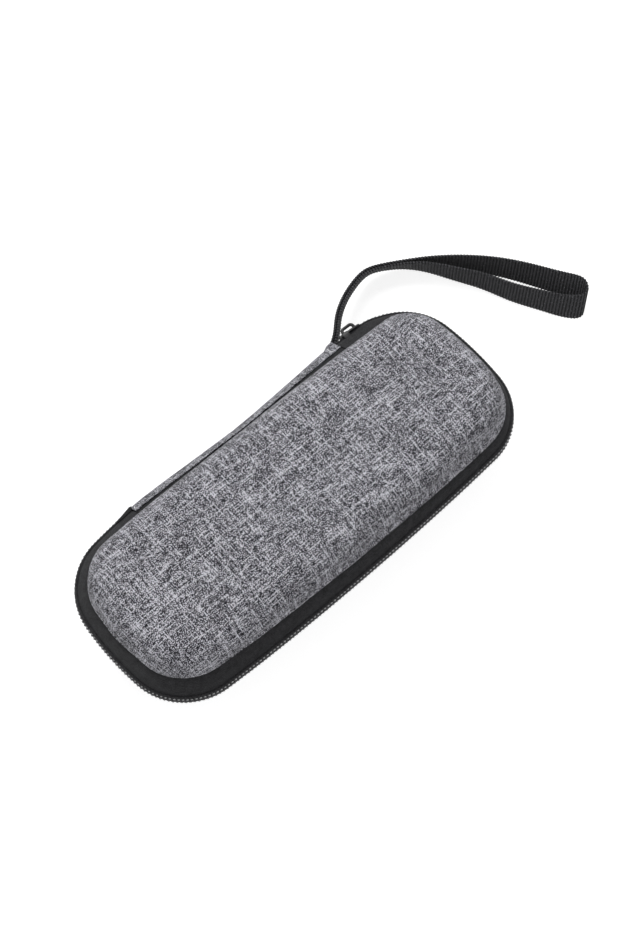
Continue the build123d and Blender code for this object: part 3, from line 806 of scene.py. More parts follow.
@dataclass(frozen=True)
class BlackCloth(Surface):
    """Black woven tape, lining or elastic: fine ribs one way and a little dust of wear."""

    color: Triple = (0.028, 0.028, 0.030)
    rib: float = 0.45
    across: float = 0.9
    slant: float = 0.6
    roughness: float = 0.75
    sheen: float = 0.25
    depth: float = 0.06
    fuzz: float = 0.9

    def sockets(self, bench: Bench) -> dict:
        """Slanted ribs with fuzz and faint clouds.

        Args:
            bench: The material's bench.

        Returns:
            Values and links of the shader's sockets.
        """
        uv = bench.uv()
        ribs = (uv.part(0) + uv.part(1) * self.slant).wave(self.rib)
        cross = uv.part(1).wave(self.across)
        fuzz = bench.noise(uv, 1.7, 3.0, 0.65)
        cloud = bench.noise(uv, 0.35, 2.0)
        value = ribs * 0.14 + cross * 0.06 + (fuzz - 0.5) * self.fuzz + (cloud - 0.5) * 1.2 + 1.0
        return {
            "Base Color": bench.tinted(self.color, value),
            "Roughness": self.roughness,
            "Specular IOR Level": 0.06,
            "Sheen Weight": self.sheen,
            "Sheen Roughness": 0.4,
            "Normal": bench.bump(ribs * 0.5 + cross * 0.3 + fuzz, self.depth, 0.7),
        }


@dataclass(frozen=True)
class Moulded(Surface):
    """Moulded or enamelled stuff: nylon, foam board or black enamel on zinc."""

    color: Triple
    roughness: float
    coat: float = 0.0
    grain: float = 900.0
    depth: float = 0.02

    def sockets(self, bench: Bench) -> dict:
        """A fine grain with broader wear.

        Args:
            bench: The material's bench.

        Returns:
            Values and links of the shader's sockets.
        """
        place = bench.field("ShaderNodeTexCoord", "Object")
        fine = bench.noise(place, self.grain, 3.0, 0.6)
        worn = bench.noise(place, self.grain / 6, 2.0)
        return {
            "Base Color": bench.tinted(self.color, 0.75 + worn * 0.5),
            "Roughness": (self.roughness - 0.08) + fine * 0.16,
            "Specular IOR Level": 0.25,
            "Coat Weight": self.coat,
            "Normal": bench.bump(fine, self.depth, 0.5),
        }


@dataclass(frozen=True)
class Webbing(Surface):
    """Black webbing: yarns on crosswise ribs, with painted highlights and painted shade."""

    name: str = "webbing_yarn"
    rib: float = 1.4
    yarn: float = 0.75
    color: Triple = (0.046, 0.046, 0.049)
    darkest: float = 0.12

    def sockets(self, bench: Bench) -> dict:
        """Ribs and yarns with fuzz, painted light on tops, shade between and highlight specks.

        Args:
            bench: The material's bench.

        Returns:
            Values and links of the shader's sockets.
        """
        uv = bench.uv()
        ribs = uv.part(0).wave(self.rib)
        crossed = uv.part(1).wave(self.yarn) * ribs
        fuzz = bench.noise(bench.vector("MULTIPLY", uv, (1.0, 2.0, 1.0)), 2.2, 3.0, 0.7)
        # Painted highlight: small bright specks added to the colour.
        painted_glint = bench.noise(bench.vector("ADD", uv, (40.0, 9.0, 0.0)), 1.5, 1.0).step(0.58, 0.74)
        # Painted light and shade: rib and yarn tops lighter, the dips between them darker.
        value = 0.9 + ribs * 0.8 + crossed * 0.8 + (fuzz - 0.5) * 3.6 + painted_glint * 2.6
        return {
            "Base Color": bench.tinted(self.color, value.at_least(self.darkest)),
            "Roughness": 0.62,
            "Specular IOR Level": 0.08,
            "Normal": bench.bump(crossed + fuzz, 0.25, 0.8),
        }


class Finish(Enum):
    """The finishes of the case, by the record's slot and the material's makings."""

    HEATHER = ("heather_fabric", Heather())
    TAPE = (
        "black_tape",
        BlackCloth("zip_tape", (0.030, 0.030, 0.032), sheen=0.06, depth=0.2, fuzz=3.2),
    )
    BINDING = ("black_tape", BlackCloth("binding_tape", (0.026, 0.026, 0.028), 0.7, 1.4, 0.0))
    LINING = ("lining", BlackCloth("lining_knit", (0.030, 0.030, 0.034), 0.5, 0.5, 0.0, 0.8, 0.4))
    ELASTIC = ("elastic", BlackCloth("ribbed_elastic", (0.024, 0.024, 0.026), 0.9, 2.2, 0.0, 0.7))
    NET = ("net", BlackCloth("net_yarn", (0.022, 0.022, 0.024), 0.4, 0.4, 0.5, 0.6))
    NYLON = ("zipper_nylon", Moulded("zip_nylon", (0.012, 0.012, 0.013), 0.38))
    # Light grey thread on a black tape: its colour paints highlights on the zip's stitches.
    THREAD = ("black_tape", Moulded("zip_thread", (0.40, 0.40, 0.41), 0.5))
    WHITE_THREAD = ("heather_fabric", Moulded("white_thread", (0.72, 0.72, 0.74), 0.7))
    FOAM = ("foam", Moulded("foam_board", (0.03, 0.03, 0.033), 0.9, depth=0.15))
    ENAMEL = ("slider_metal", Moulded("black_enamel", (0.009, 0.009, 0.010), 0.40, coat=0.15))
    WEBBING = ("webbing", Webbing())

    def __init__(self, slot: str, surface: Surface) -> None:
        """Keeps the record's slot and what the finish is made of."""
        self.slot, self.surface = slot, surface


def dress(piece: Piece, finish: Finish, *replaces: str) -> Piece:
    """Gives a piece its finish and hides the CAD nodes that it stands for.

    Args:
        piece: The piece.
        finish: Its finish.
        *replaces: CAD nodes that it stands for.

    Returns:
        The piece.
    """
    piece.data.materials.clear()
    piece.data.materials.append(finish.surface.material())
    if replaces:
        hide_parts(*replaces)
    LOG.info("piece %s: %d faces", piece.name, len(piece.data.polygons))
    return piece


# Repeats along a path


class PathRepeat:
    """Node tree that sets copies of one small piece along a path."""

    SOCKETS = {
        "Path": "NodeSocketGeometry",
        "Piece": "NodeSocketObject",
        "Pitch": "NodeSocketFloat",
        "Uneven": "NodeSocketFloat",
        "Seed": "NodeSocketInt",
        "Finish": "NodeSocketMaterial",
    }

    def __init__(self) -> None:
        """Builds the tree with its named inputs."""
        self.tree = bpy.data.node_groups.new("repeat_along_path", "GeometryNodeTree")
        new = self.tree.interface.new_socket
        new("Geometry", in_out="OUTPUT", socket_type="NodeSocketGeometry")
        self.keys = {
            name: new(name, in_out="INPUT", socket_type=kind).identifier
            for name, kind in self.SOCKETS.items()
        }
        self.build()

    def build(self) -> None:
        """Adds and links the nodes."""
        new = self.tree.nodes.new
        inputs, output = new("NodeGroupInput"), new("NodeGroupOutput")
        resample, tangent = new("GeometryNodeResampleCurve"), new("GeometryNodeInputTangent")
        turn, low = new("FunctionNodeAlignRotationToVector"), new("ShaderNodeMath")
        size, info = new("FunctionNodeRandomValue"), new("GeometryNodeObjectInfo")
        spread, real = new("GeometryNodeInstanceOnPoints"), new("GeometryNodeRealizeInstances")
        paint = new("GeometryNodeSetMaterial")
        resample.mode = "LENGTH"
        turn.axis, turn.pivot_axis = "X", "Z"
        low.operation, size.data_type = "SUBTRACT", "FLOAT"
        low.inputs[0].default_value = size.inputs[3].default_value = 1.0
        for source, out, target, into in (
            (inputs, "Path", resample, "Curve"),
            (inputs, "Pitch", resample, "Length"),
            (tangent, 0, turn, "Vector"),
            (inputs, "Uneven", low, 1),
            (low, 0, size, 2),
            (inputs, "Seed", size, "Seed"),
            (inputs, "Piece", info, "Object"),
            (resample, 0, spread, "Points"),
            (info, "Geometry", spread, "Instance"),
            (turn, 0, spread, "Rotation"),
            (size, 1, spread, "Scale"),
            (spread, 0, real, 0),
            (real, 0, paint, "Geometry"),
            (inputs, "Finish", paint, "Material"),
            (paint, 0, output, 0),
        ):
            self.tree.links.new(source.outputs[out], target.inputs[into])

    def run(
        self,
        name: str,
        line: Array,
        piece: Piece,
        pitch: float,
        finish: Finish,
        uneven: float = 0.0,
        seed: int = 1,
    ) -> Piece:
        """Sets the piece along a line and makes the result a plain mesh.

        Args:
            name: Name of the new piece.
            line: Points of the line, in millimetres.
            piece: The small piece, about the origin, its X along the line.
            pitch: Distance between copies.
            finish: Finish of the copies.
            uneven: Share by which a copy may be smaller.
            seed: Seed of the sizes.

        Returns:
            The new object.
        """
        curve = bpy.data.curves.new(name + "_path", "CURVE")
        curve.dimensions = "3D"
        spline = curve.splines.new("POLY")
        spline.points.add(len(line) - 1)
        spline.points.foreach_set("co", np.c_[line * MM, np.ones(len(line))].ravel())
        carrier = added(name + "_path", curve)
        modifier = carrier.modifiers.new("repeat", "NODES")
        modifier.node_group = self.tree
        for key, value in (
            ("Piece", piece),
            ("Pitch", pitch * MM),
            ("Uneven", uneven),
            ("Seed", seed),
            ("Finish", finish.surface.material()),
        ):
            modifier[self.keys[key]] = value
        graph = bpy.context.evaluated_depsgraph_get()
        mesh = bpy.data.meshes.new_from_object(carrier.evaluated_get(graph), depsgraph=graph)
        mesh.name = name
        made = added(name, mesh)
        bpy.data.objects.remove(carrier)
        bpy.data.curves.remove(curve)
        return made


def small_stitch() -> Piece:
    """One stitch: a short round thread along X, about the origin.

    Returns:
        The new object.
    """
    x, radius = np.array(STITCH).T[:, :, None]
    angle = np.linspace(0, TURN, 6, endpoint=False)
    y, z = radius * np.cos(angle), radius * np.sin(angle)
    points = np.stack([np.broadcast_to(x, y.shape), y, z], 2)
    return lattice("stitch", points, np.zeros((len(x), 7, 2)))


# Sub-assemblies


@dataclass
class PaddedShell:
    """One half's cover, foam board, lining and cut-edge binding."""

    half: Half
    proud: float = 0.4
    cloth: float = 0.37
    foam_depth: float = 1.0
    lining_depth: float = 4.7
    lining: float = 0.6
    gap: float = 0.05
    foam_edge: float = 3.45
    lining_edge: float = 3.6
    step: float = 1.5
    stitch_inset: float = 8.55
    stitch_rise: float = 6.6
    stitch_pitch: float = 2.6
    binding_depth: float = 5.4
    binding_top: float = 8.0
    binding_cloth: float = 0.45
    binding_edge: float = 3.4

    def dome(
        self,
        name: str,
        outer: float,
        inner: float,
        rises: Array,
        run: Array,
        fold_share: float = 0.45,
    ) -> Piece:
        """A skin over the dome, from a wavering edge to the middle of the top.

        Args:
            name: Name of the piece.
            outer: Depth of its outer face.
            inner: Depth of its inner face.
            rises: Rise of its edge at each station.
            run: The stations.
            fold_share: How far its edge is round, as a share of its thickness.

        Returns:
            The new object.
        """
        wall = WALLS[self.half]
        places, normals = OUTLINE.at(run)
        draws = hinge_draw(places, self.half)
        top_edge = wall.shoulder_inset + wall.crown
        rows, maps = [], []
        for place, normal, rise, draw in zip(places, normals, rises, draws):
            out, back = wall.face(outer, rise), wall.face(inner, rise)[::-1]
            fold = (out[0] + back[-1]) / 2
            fold[1] -= abs(inner - outer) * fold_share
            line = np.vstack([back, fold[None], out])
            xy = place - drawn(line[:, :1], line[:, 1:2], draw) * normal
            rows.append(np.c_[xy, ZIP_Z + self.half.value * line[:, 1]])
            maps.append(place - top_edge * normal + line[:, 2:3] * normal)
        uv = np.stack([*maps, maps[0]])
        return lattice(name, np.stack(rows), uv, Form.SHELL, 60)

    def build(self, repeat: PathRepeat, stitch: Piece) -> None:
        """Builds and dresses the skins and the binding.

        Args:
            repeat: The tree that sets stitches.
            stitch: One small stitch.
        """
        word, around = self.half.word, OUTLINE.around()
        run = np.linspace(0, around, round(around / self.step), endpoint=False)
        rises = seam_rise(OUTLINE.at(run)[0], self.half)
        level = np.ones(len(run))
        cover = self.dome(f"{word}_fabric", -self.proud, self.cloth - self.proud, rises, run)
        dress(cover, Finish.HEATHER, f"{word}_cover")
        under = self.lining_depth - self.gap
        foam = self.dome(f"{word}_foam", self.foam_depth, under, level * self.foam_edge, run, 0.0)
        dress(foam, Finish.FOAM, f"{word}_shell")
        inner = self.lining_depth + self.lining
        knit = self.dome(f"{word}_inner", self.lining_depth, inner, level * self.lining_edge, run)
        dress(knit, Finish.LINING, f"{word}_lining")
        binding = dress(self.binding(run), Finish.BINDING, f"{word}_rim_binding")
        ring = np.append(run, around)
        draws = hinge_draw(OUTLINE.at(ring)[0], self.half)
        inset = drawn(self.stitch_inset, self.stitch_rise, draws)
        line = path_at(ring, inset, self.half.value * self.stitch_rise)
        name = f"{word}_rim_stitches"
        sewn = repeat.run(name, line, stitch, self.stitch_pitch, Finish.THREAD, 0.1, 5)
        dress(sewn, Finish.THREAD)
        for piece in (cover, foam, knit, binding, sewn):
            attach(piece, word)

    def binding(self, run: Array) -> Piece:
        """The folded tape over the shell's cut edge, drawn in as the shell is.

        Args:
            run: The stations.

        Returns:
            The new object.
        """
        edge, top, cloth = self.binding_edge, self.binding_top, self.binding_cloth
        inside, high = (float(WALLS[self.half].inset(self.binding_depth, z)) for z in (edge, top))
        corners = [(edge, edge - cloth), (inside + cloth, edge - cloth), (high + cloth, top)]
        corners += [(high, top), (inside, edge), (edge, edge)]
        x, z = rounded(corners, 0.6, 4).T
        draws = hinge_draw(OUTLINE.at(run)[0], self.half)
        return swept(
            f"{self.half.word}_rim_tape",
            run,
            lambda i: np.stack([drawn(x, z, draws[i]), z], 1),
            self.half.value,
            closed=True,
        )


@dataclass
class Zipper:
    """Both tapes, both rows of elements, their cords and stitches and the folded tape end."""

    low_x: float = -54.4
    high_x: float = 57.7
    flex_x: float = 64.2
    flex_arc: float = 5.82
    gap: float = 0.4
    pitch: float = 1.75
    fine_step: float = 0.7
    tape_step: float = 1.2
    end_step: float = 1.0
    stitch_margin: float = 0.6
    tape_foot: float = 3.3
    tape_under: float = 1.0
    tape_depths: tuple[float, float] = (0.02, 0.9)
    tape_edges: tuple[float, float] = (1.75, 2.35)
    puff: float = 0.42
    undercut: float = 0.75
    upright: tuple[float, float] = (1.62, 2.2)
    upright_rises: tuple[float, float] = (0.9, 2.9)
    fold_rise: float = 4.2
    fold_length: float = 9.0

    def runs(self) -> tuple[float, float, float, float]:
        """Distances to the chain's start, its soft stretch, that stretch's end and the tape's."""
        low, flex, high = map(OUTLINE.run_of_hinge_x, (self.low_x, self.flex_x, self.high_x))
        return low, OUTLINE.corner_end() - self.flex_arc, flex, high

    def element(self) -> Piece:
        """One element of the lid's row: a head over the middle and a shank up to the tape.

        Returns:
            The new object.
        """
        rise, width, depth, centre = np.array(ELEMENT).T[:, :, None]
        angle = np.linspace(0, TURN, 8, endpoint=False) + math.pi / 8
        x = width / 2 * np.cos(angle) / math.cos(math.pi / 8)
        y = centre + depth / 2 * np.sin(angle) / math.cos(math.pi / 8)
        points = np.stack([x, y, np.broadcast_to(rise, x.shape)], 2)
        return lattice("element", points, np.zeros((len(rise), 9, 2)))

    def tape(self, name: str, half: Half, run: Array, upright: bool = True) -> Piece:
        """One tape, with a puffed slope up to under the fabric's edge.

        Args:
            name: Name of the piece.
            half: The half it is sewn to.
            run: The stations.
            upright: Whether it has the upright edge behind the elements.

        Returns:
            The new object.
        """
        wall = WALLS[half]
        places, _ = OUTLINE.at(run)
        draws, outs = hinge_draw(places, half), chain_out(places)
        tops = seam_rise(places, half) + self.tape_under
        lift = np.sin(run * 0.21) * 0.05 + np.sin(run * 0.083 + 1.0) * 0.08
        low, high = self.upright_rises

        def section(i: int) -> Array:
            """Section of the tape at one station.

            Args:
                i: Number of the station.

            Returns:
                Its rows of inset and rise.
            """
            rises = np.linspace(self.tape_foot, tops[i], 14)
            share = (rises - self.tape_foot) / (tops[i] - self.tape_foot)
            puff = self.puff * np.sin(math.pi * np.clip(share * 1.25, 0, 1)) ** 0.8
            puff = puff + lift[i] * np.sin(math.pi * share)
            cut = self.undercut * np.clip((share - 0.74) / 0.12, 0, 1)
            outer, inner = (wall.inset(depth, rises) for depth in self.tape_depths)
            outer, inner = drawn(outer - puff + cut, rises, draws[i]), drawn(inner, rises, draws[i])
            outer[0], inner[0] = self.tape_edges
            outer, inner = (face - outs[i] * (1 - share) for face in (outer, inner))
            rows = [*zip(outer, rises), *zip(inner[::-1], rises[::-1])]
            if upright:
                near, far = (x - outs[i] for x in self.upright)
                rows = [(near, low), (near, high), *rows, (far, high), (far, low)]
            return np.array(rows)

        return swept(name, run, section, half.value)

    def rows(self, repeat: PathRepeat, name: str, run: Array, *sides: Half) -> Piece:
        """Rows of elements along a stretch, for one or both halves.

        Args:
            repeat: The tree that sets the elements.
            name: Name of the piece.
            run: The stations.
            *sides: Halves that have a row in it.

        Returns:
            The new object.
        """
        made = []
        for half in sides:
            piece, shift = self.element(), self.pitch / 2
            if half is Half.BASE:
                piece.data.transform(Matrix.Scale(-1, 4, (0, 0, 1)))
                piece.data.flip_normals()
                shift = 0.0
            part = stretch(run[0] + shift, run[-1] + shift - self.pitch / 2, self.fine_step)
            line = path_at(part, -chain_out(OUTLINE.at(part)[0]), 0.0)
            made.append(repeat.run(f"{name}_{half.word}", line, piece, self.pitch, Finish.NYLON))
            bpy.data.objects.remove(piece)
        return joined(name, made)

    def build(self, repeat: PathRepeat, stitch: Piece) -> None:
        """Builds and dresses the whole zipper.

        Args:
            repeat: The tree that sets elements and stitches.
            stitch: One small stitch.
        """
        low, corner, flex, high = self.runs()
        end = corner - self.gap
        lid_tape = self.tape("lid_tape", Half.LID, stretch(low, end, self.tape_step))
        dress(lid_tape, Finish.TAPE, "lid_zipper_tape")
        base_tape = self.tape("base_tape", Half.BASE, stretch(low, high, self.tape_step))
        dress(base_tape, Finish.TAPE, "base_zipper_tape")
        lid_end = self.tape("lid_tape_end", Half.LID, stretch(end, high, self.end_step), False)
        dress(lid_end, Finish.TAPE)
        part = stretch(low + self.stitch_margin, corner - self.stitch_margin, self.fine_step)
        outs = chain_out(OUTLINE.at(part)[0])
        for half, tape, inset, rise in (
            (Half.LID, lid_tape, 0.22, 1.9),
            (Half.BASE, base_tape, -0.02, -1.1),
        ):
            word = half.word
            row = self.rows(repeat, f"{word}_elements", stretch(low, end, self.fine_step), half)
            dress(row, Finish.NYLON, f"{word}_zipper_coil")
            line = path_at(part, inset - outs, rise)
            name = f"{word}_zip_stitches"
            # These stitches take the light grey thread that paints their highlights.
            thread = repeat.run(name, line, stitch, self.pitch, Finish.THREAD, 0.15, 3)
            dress(thread, Finish.THREAD)
            core = self.core(f"{word}_zip_cord", stretch(low, end, self.tape_step), half)
            dress(core, Finish.TAPE)
            for piece in (tape, row, thread, core):
                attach(piece, word)
        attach(lid_end, "lid")
        self.soft_end(repeat, corner, flex, high)
        self.folded_end()

    def core(self, name: str, run: Array, half: Half) -> Piece:
        """The cord that the elements of one half are wound on."""
        corners = [(0.06, 0.1), (0.06, 1.3), (0.66, 2.8), (1.68, 2.8), (1.68, 0.1)]
        return swept(name, run, self.moved_out(rounded(corners, 0.35), run), half.value)

    def moved_out(self, section: Array, run: Array) -> Section:
        """A section that stands out with the chain at each station."""
        outs = chain_out(OUTLINE.at(run)[0])
        return lambda i: section - np.array([outs[i], 0.0])

    def soft_end(self, repeat: PathRepeat, corner: float, flex: float, high: float) -> None:
        """The last stretch beside the hinge, baked in place and tied to neither half.

        Args:
            repeat: The tree that sets elements.
            corner: Distance to its start.
            flex: Distance to the end of its elements.
            high: Distance to the end of its tape edge.
        """
        part = stretch(corner, flex, self.fine_step)
        row = self.rows(repeat, "soft_elements", part, Half.LID, Half.BASE)
        (near, far), low, top = self.upright, self.upright_rises[0], self.tape_foot
        section = rounded([(near, low), (near, top), (far, top), (far, low)], 0.15)
        run = stretch(corner, high, self.end_step)
        edge = swept("soft_tape_edge", run, self.moved_out(section, run))
        dress(row, Finish.NYLON, "zipper_end")
        dress(edge, Finish.TAPE)
        cores = [self.core(f"soft_cord_{half.word}", run, half) for half in Half]
        cord = dress(joined("soft_zip_cord", cores), Finish.TAPE)
        for piece in (row, edge, cord):
            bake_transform(piece)

    def folded_end(self) -> None:
        """The folded tape end over the start of the chain."""
        start = OUTLINE.run_of_hinge_x(self.low_x + 1.4)
        run = stretch(start, start + self.fold_length, 0.4)
        rise = self.fold_rise

        def section(i: int) -> Array:
            """Section of the fold, round at the hinge and thin towards the chain.

            Args:
                i: Number of the station.

            Returns:
                Its rows of inset and rise.
            """
            share = i / (len(run) - 1)
            swell = math.sin(math.pi * min(0.5, 0.1 + 3.0 * share)) * (1 - share) ** 1.2
            out = 0.35 + 1.55 * swell
            corners = [(0.9, -rise), (0.9, rise), (-0.8 * out, rise - 0.8), (-out, 0)]
            return rounded([*corners, (-0.8 * out, 0.8 - rise)], 0.6, 4)

        fold = dress(swept("folded_tape_end", run, section), Finish.TAPE, "zipper_end_tab")
        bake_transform(fold)


@dataclass
class FabricHinge:
    """The strip of fabric over the hinge, its backing, the inner strip and the threads."""

    high_x: float = 57.3
    low_x: float = -54.0
    step: float = 1.5
    edge_rise: float = 7.5
    backing_rise: float = 13.4
    backing_depth: float = 0.5
    strip_depth: float = -0.40
    strip_cloth: float = 0.5
    backing_cloth: float = 0.4
    thread_depth: float = -0.55
    thread_radius: float = 0.22

    def crossing(self, name: str, run: Array, depth: float, cloth: float, edge: float) -> Piece:
        """A strip from the base's wall over the hinge line to the lid's.

        Args:
            name: Name of the piece.
            run: The stations.
            depth: How far it lies under the wall's outer face.
            cloth: Its thickness.
            edge: Rise of both its edges.

        Returns:
            The new object.
        """
        wall = WALLS[Half.LID]
        up, middle = np.linspace(2.4, edge, 10), np.linspace(-1.6, 1.6, 5)
        rises = np.concatenate([-up[::-1], middle, up])
        lean = np.abs(rises)
        pinch, draws = self.pinch(run), hinge_draw(OUTLINE.at(run)[0], Half.LID)
        rim, ridge = float(wall.inset(depth, RIM_RISE)), 1.0 + depth
        arch = ridge + (rim - ridge) * (lean / RIM_RISE) ** 2
        outer = np.where(lean > RIM_RISE, wall.inset(depth, np.maximum(lean, RIM_RISE)), arch)

        def section(i: int) -> Array:
            """Section of the strip at one station.

            Args:
                i: Number of the station.

            Returns:
                Its rows of inset and rise.
            """
            here = outer + between(PINCH_SHARES, lean) * pinch[i]
            here = np.where(rises > 0, drawn(here, rises, draws[i]), here)
            back = [*zip(here[::-1] + cloth, rises[::-1])]
            over = cloth / 2
            high, low = (here[-1] + over, edge + over), (here[0] + over, -edge - over)
            return np.array([*zip(here, rises), high, *back, low])

        return swept(name, run, section)

    def pinch(self, run: Array) -> Array:
        """How far the strip, straighter than the outline, lies inside it."""
        return between(HINGE_PINCHES, OUTLINE.at(run)[0][:, 0])

    def thread_over(self, name: str, x: float, low: float, high: float) -> None:
        """Lays a white thread over the strip.

        Args:
            name: Name of the piece.
            x: Its X.
            low: Rise of its lower end.
            high: Rise of its upper end.
        """
        rises = np.linspace(low, high, 24)
        run = OUTLINE.run_of_hinge_x(x) + 0.5 * np.sin(np.linspace(0, math.pi, 24))
        places, normals = OUTLINE.at(run)
        inset = WALLS[Half.LID].inset(self.thread_depth, rises)
        inset = drawn(inset, rises, hinge_draw(places, Half.LID))
        inset = inset + between(PINCH_SHARES, rises) * self.pinch(run)
        line = np.c_[places - inset[:, None] * normals, ZIP_Z + rises]
        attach(dress(tube(name, line, self.thread_radius), Finish.WHITE_THREAD), "lid")

    def build(self) -> None:
        """Builds and dresses the hinge."""
        low, high = OUTLINE.run_of_hinge_x(self.low_x), OUTLINE.run_of_hinge_x(self.high_x)
        around = OUTLINE.around()
        upper, lower = stretch(high, around, self.step), stretch(low, 0.0, self.step)
        run = np.concatenate([upper, lower[::-1][1:] + around]) % around
        strip = self.crossing(
            "hinge_strip", run, self.strip_depth, self.strip_cloth, self.edge_rise
        )
        dress(strip, Finish.HEATHER, "hinge_fabric")
        backing = self.crossing(
            "hinge_backing", run, self.backing_depth, self.backing_cloth, self.backing_rise
        )
        dress(backing, Finish.TAPE)
        section = rounded([(3.45, -2.75), (3.45, 2.75), (3.9, 2.75), (3.9, -2.75)], 0.2)
        inner = swept("hinge_inner_strip", run, lambda i: section)
        dress(inner, Finish.LINING, "hinge_lining")
        for piece in (strip, backing, inner):
            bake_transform(piece)
        self.thread_over("hinge_thread_upper", 53.4, 4.2, self.edge_rise + 0.2)
        self.thread_over("hinge_thread_lower", -52.8, 5.4, 7.0)


@dataclass
class InnerPocket:
    """Net pocket with its elastic edge in the lid."""

    rise: float = 9.25
    inset: float = 13.1
    end_x: float = 18.0
    pitch: float = 2.6
    strand: float = 0.2
    layer: float = 0.08
    shortest: float = 2.0
    rim: float = 0.45
    edge_x: float = 2.9
    edge_half: tuple[float, float] = (2.5, 0.7)

    def limits(self) -> Array:
        """Outline of the net's space, as X and Y."""
        points, normals = OUTLINE.at(np.linspace(0, OUTLINE.around(), 720, endpoint=False))
        return points - self.inset * normals

    def strands(self) -> list[Array]:
        """Both ways of the net's strands, cut at the outline and at the elastic edge.

        Returns:
            The two ends of each strand.
        """
        edge, lines = self.limits(), []
        for turn in (1, -1):
            way = np.array([math.sqrt(0.5), turn * math.sqrt(0.5)])
            side = np.array([-way[1], way[0]])
            height = ZIP_Z + self.rise + turn * self.layer
            for offset in np.arange(-120, 120, self.pitch):
                t = edge @ side - offset
                hits = [edge[k] @ way for k in np.nonzero((t[:-1] * t[1:]) < 0)[0]]
                if len(hits) < 2:
                    continue
                ends = [offset * side + hit * way for hit in (min(hits), max(hits))]
                a, b = sorted(ends, key=lambda end: end[0])
                if a[0] >= self.end_x:
                    continue
                if b[0] > self.end_x:
                    b = a + (b - a) * (self.end_x - a[0]) / (b[0] - a[0])
                if np.linalg.norm(b - a) > self.shortest:
                    lines.append(np.array([[*a, height], [*b, height]]))
        return lines

    def build(self) -> None:
        """Builds and dresses the pocket."""
        parts = [tube("strand", line, self.strand, 4) for line in self.strands()]
        edge = self.limits()
        rim = edge[edge[:, 0] <= self.end_x]
        order = np.argsort(np.arctan2(rim[:, 1], -(rim[:, 0] - self.end_x)))
        height = ZIP_Z + self.rise
        parts.append(tube("net_rim", np.c_[rim[order], np.full(len(rim), height)], self.rim, 6))
        net = dress(joined("pocket_net", parts), Finish.NET, "mesh_pocket_net")
        middle = self.end_x + self.edge_x
        near = edge[np.abs(edge[:, 0] - self.end_x - self.edge_x) < 3]
        half = float(np.abs(near[:, 1]).max()) - 0.3
        rows, section = np.linspace(-half, half, 60), oblong(*self.edge_half, 0.5)
        points = np.zeros((60, len(section), 3))
        points[..., 0] = middle + section[None, :, 0]
        points[..., 1] = rows[:, None]
        points[..., 2] = height + section[None, :, 1]
        trim = lattice("pocket_elastic", points, grid(rows, np.arange(len(section) + 1) * 0.6))
        dress(trim, Finish.ELASTIC, "mesh_pocket_trim")
        for piece in (net, trim):
            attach(piece, "lid")


@dataclass
class HoldingBand:
    """Elastic band across the base, with its ends turned down."""

    x: float = -12.0
    half_width: float = 11.0
    half_cloth: float = 0.5

    def build(self) -> None:
        """Builds and dresses the band."""
        low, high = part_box("base_elastic_band")
        half, top, foot = high.y / MM, high.z / MM, low.z / MM
        side = [(half - 3.4, foot + 0.2), (half - 1.2, top - 1.6), (half - 4.0, top - 0.65)]
        path = [(-y, z) for y, z in side] + [(0, top - 0.95)] + side[::-1]
        line, run = smooth_line(np.array([(y, 0, z, 0) for y, z in path]), 120)
        tangent = unit(np.gradient(line[:, :3], axis=0))
        up = np.stack([-tangent[:, 2], tangent[:, 0]], 1)
        section = oblong(self.half_width, self.half_cloth, 0.4)
        points = np.zeros((len(line), len(section), 3))
        points[..., 0] = self.x + section[None, :, 0]
        points[..., 1] = line[:, None, 0] + up[:, None, 0] * section[None, :, 1]
        points[..., 2] = line[:, None, 2] + up[:, None, 1] * section[None, :, 1]
        band = lattice("holding_band", points, grid(run, girth_of(section)))
        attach(dress(band, Finish.ELASTIC, "base_elastic_band"), "base")


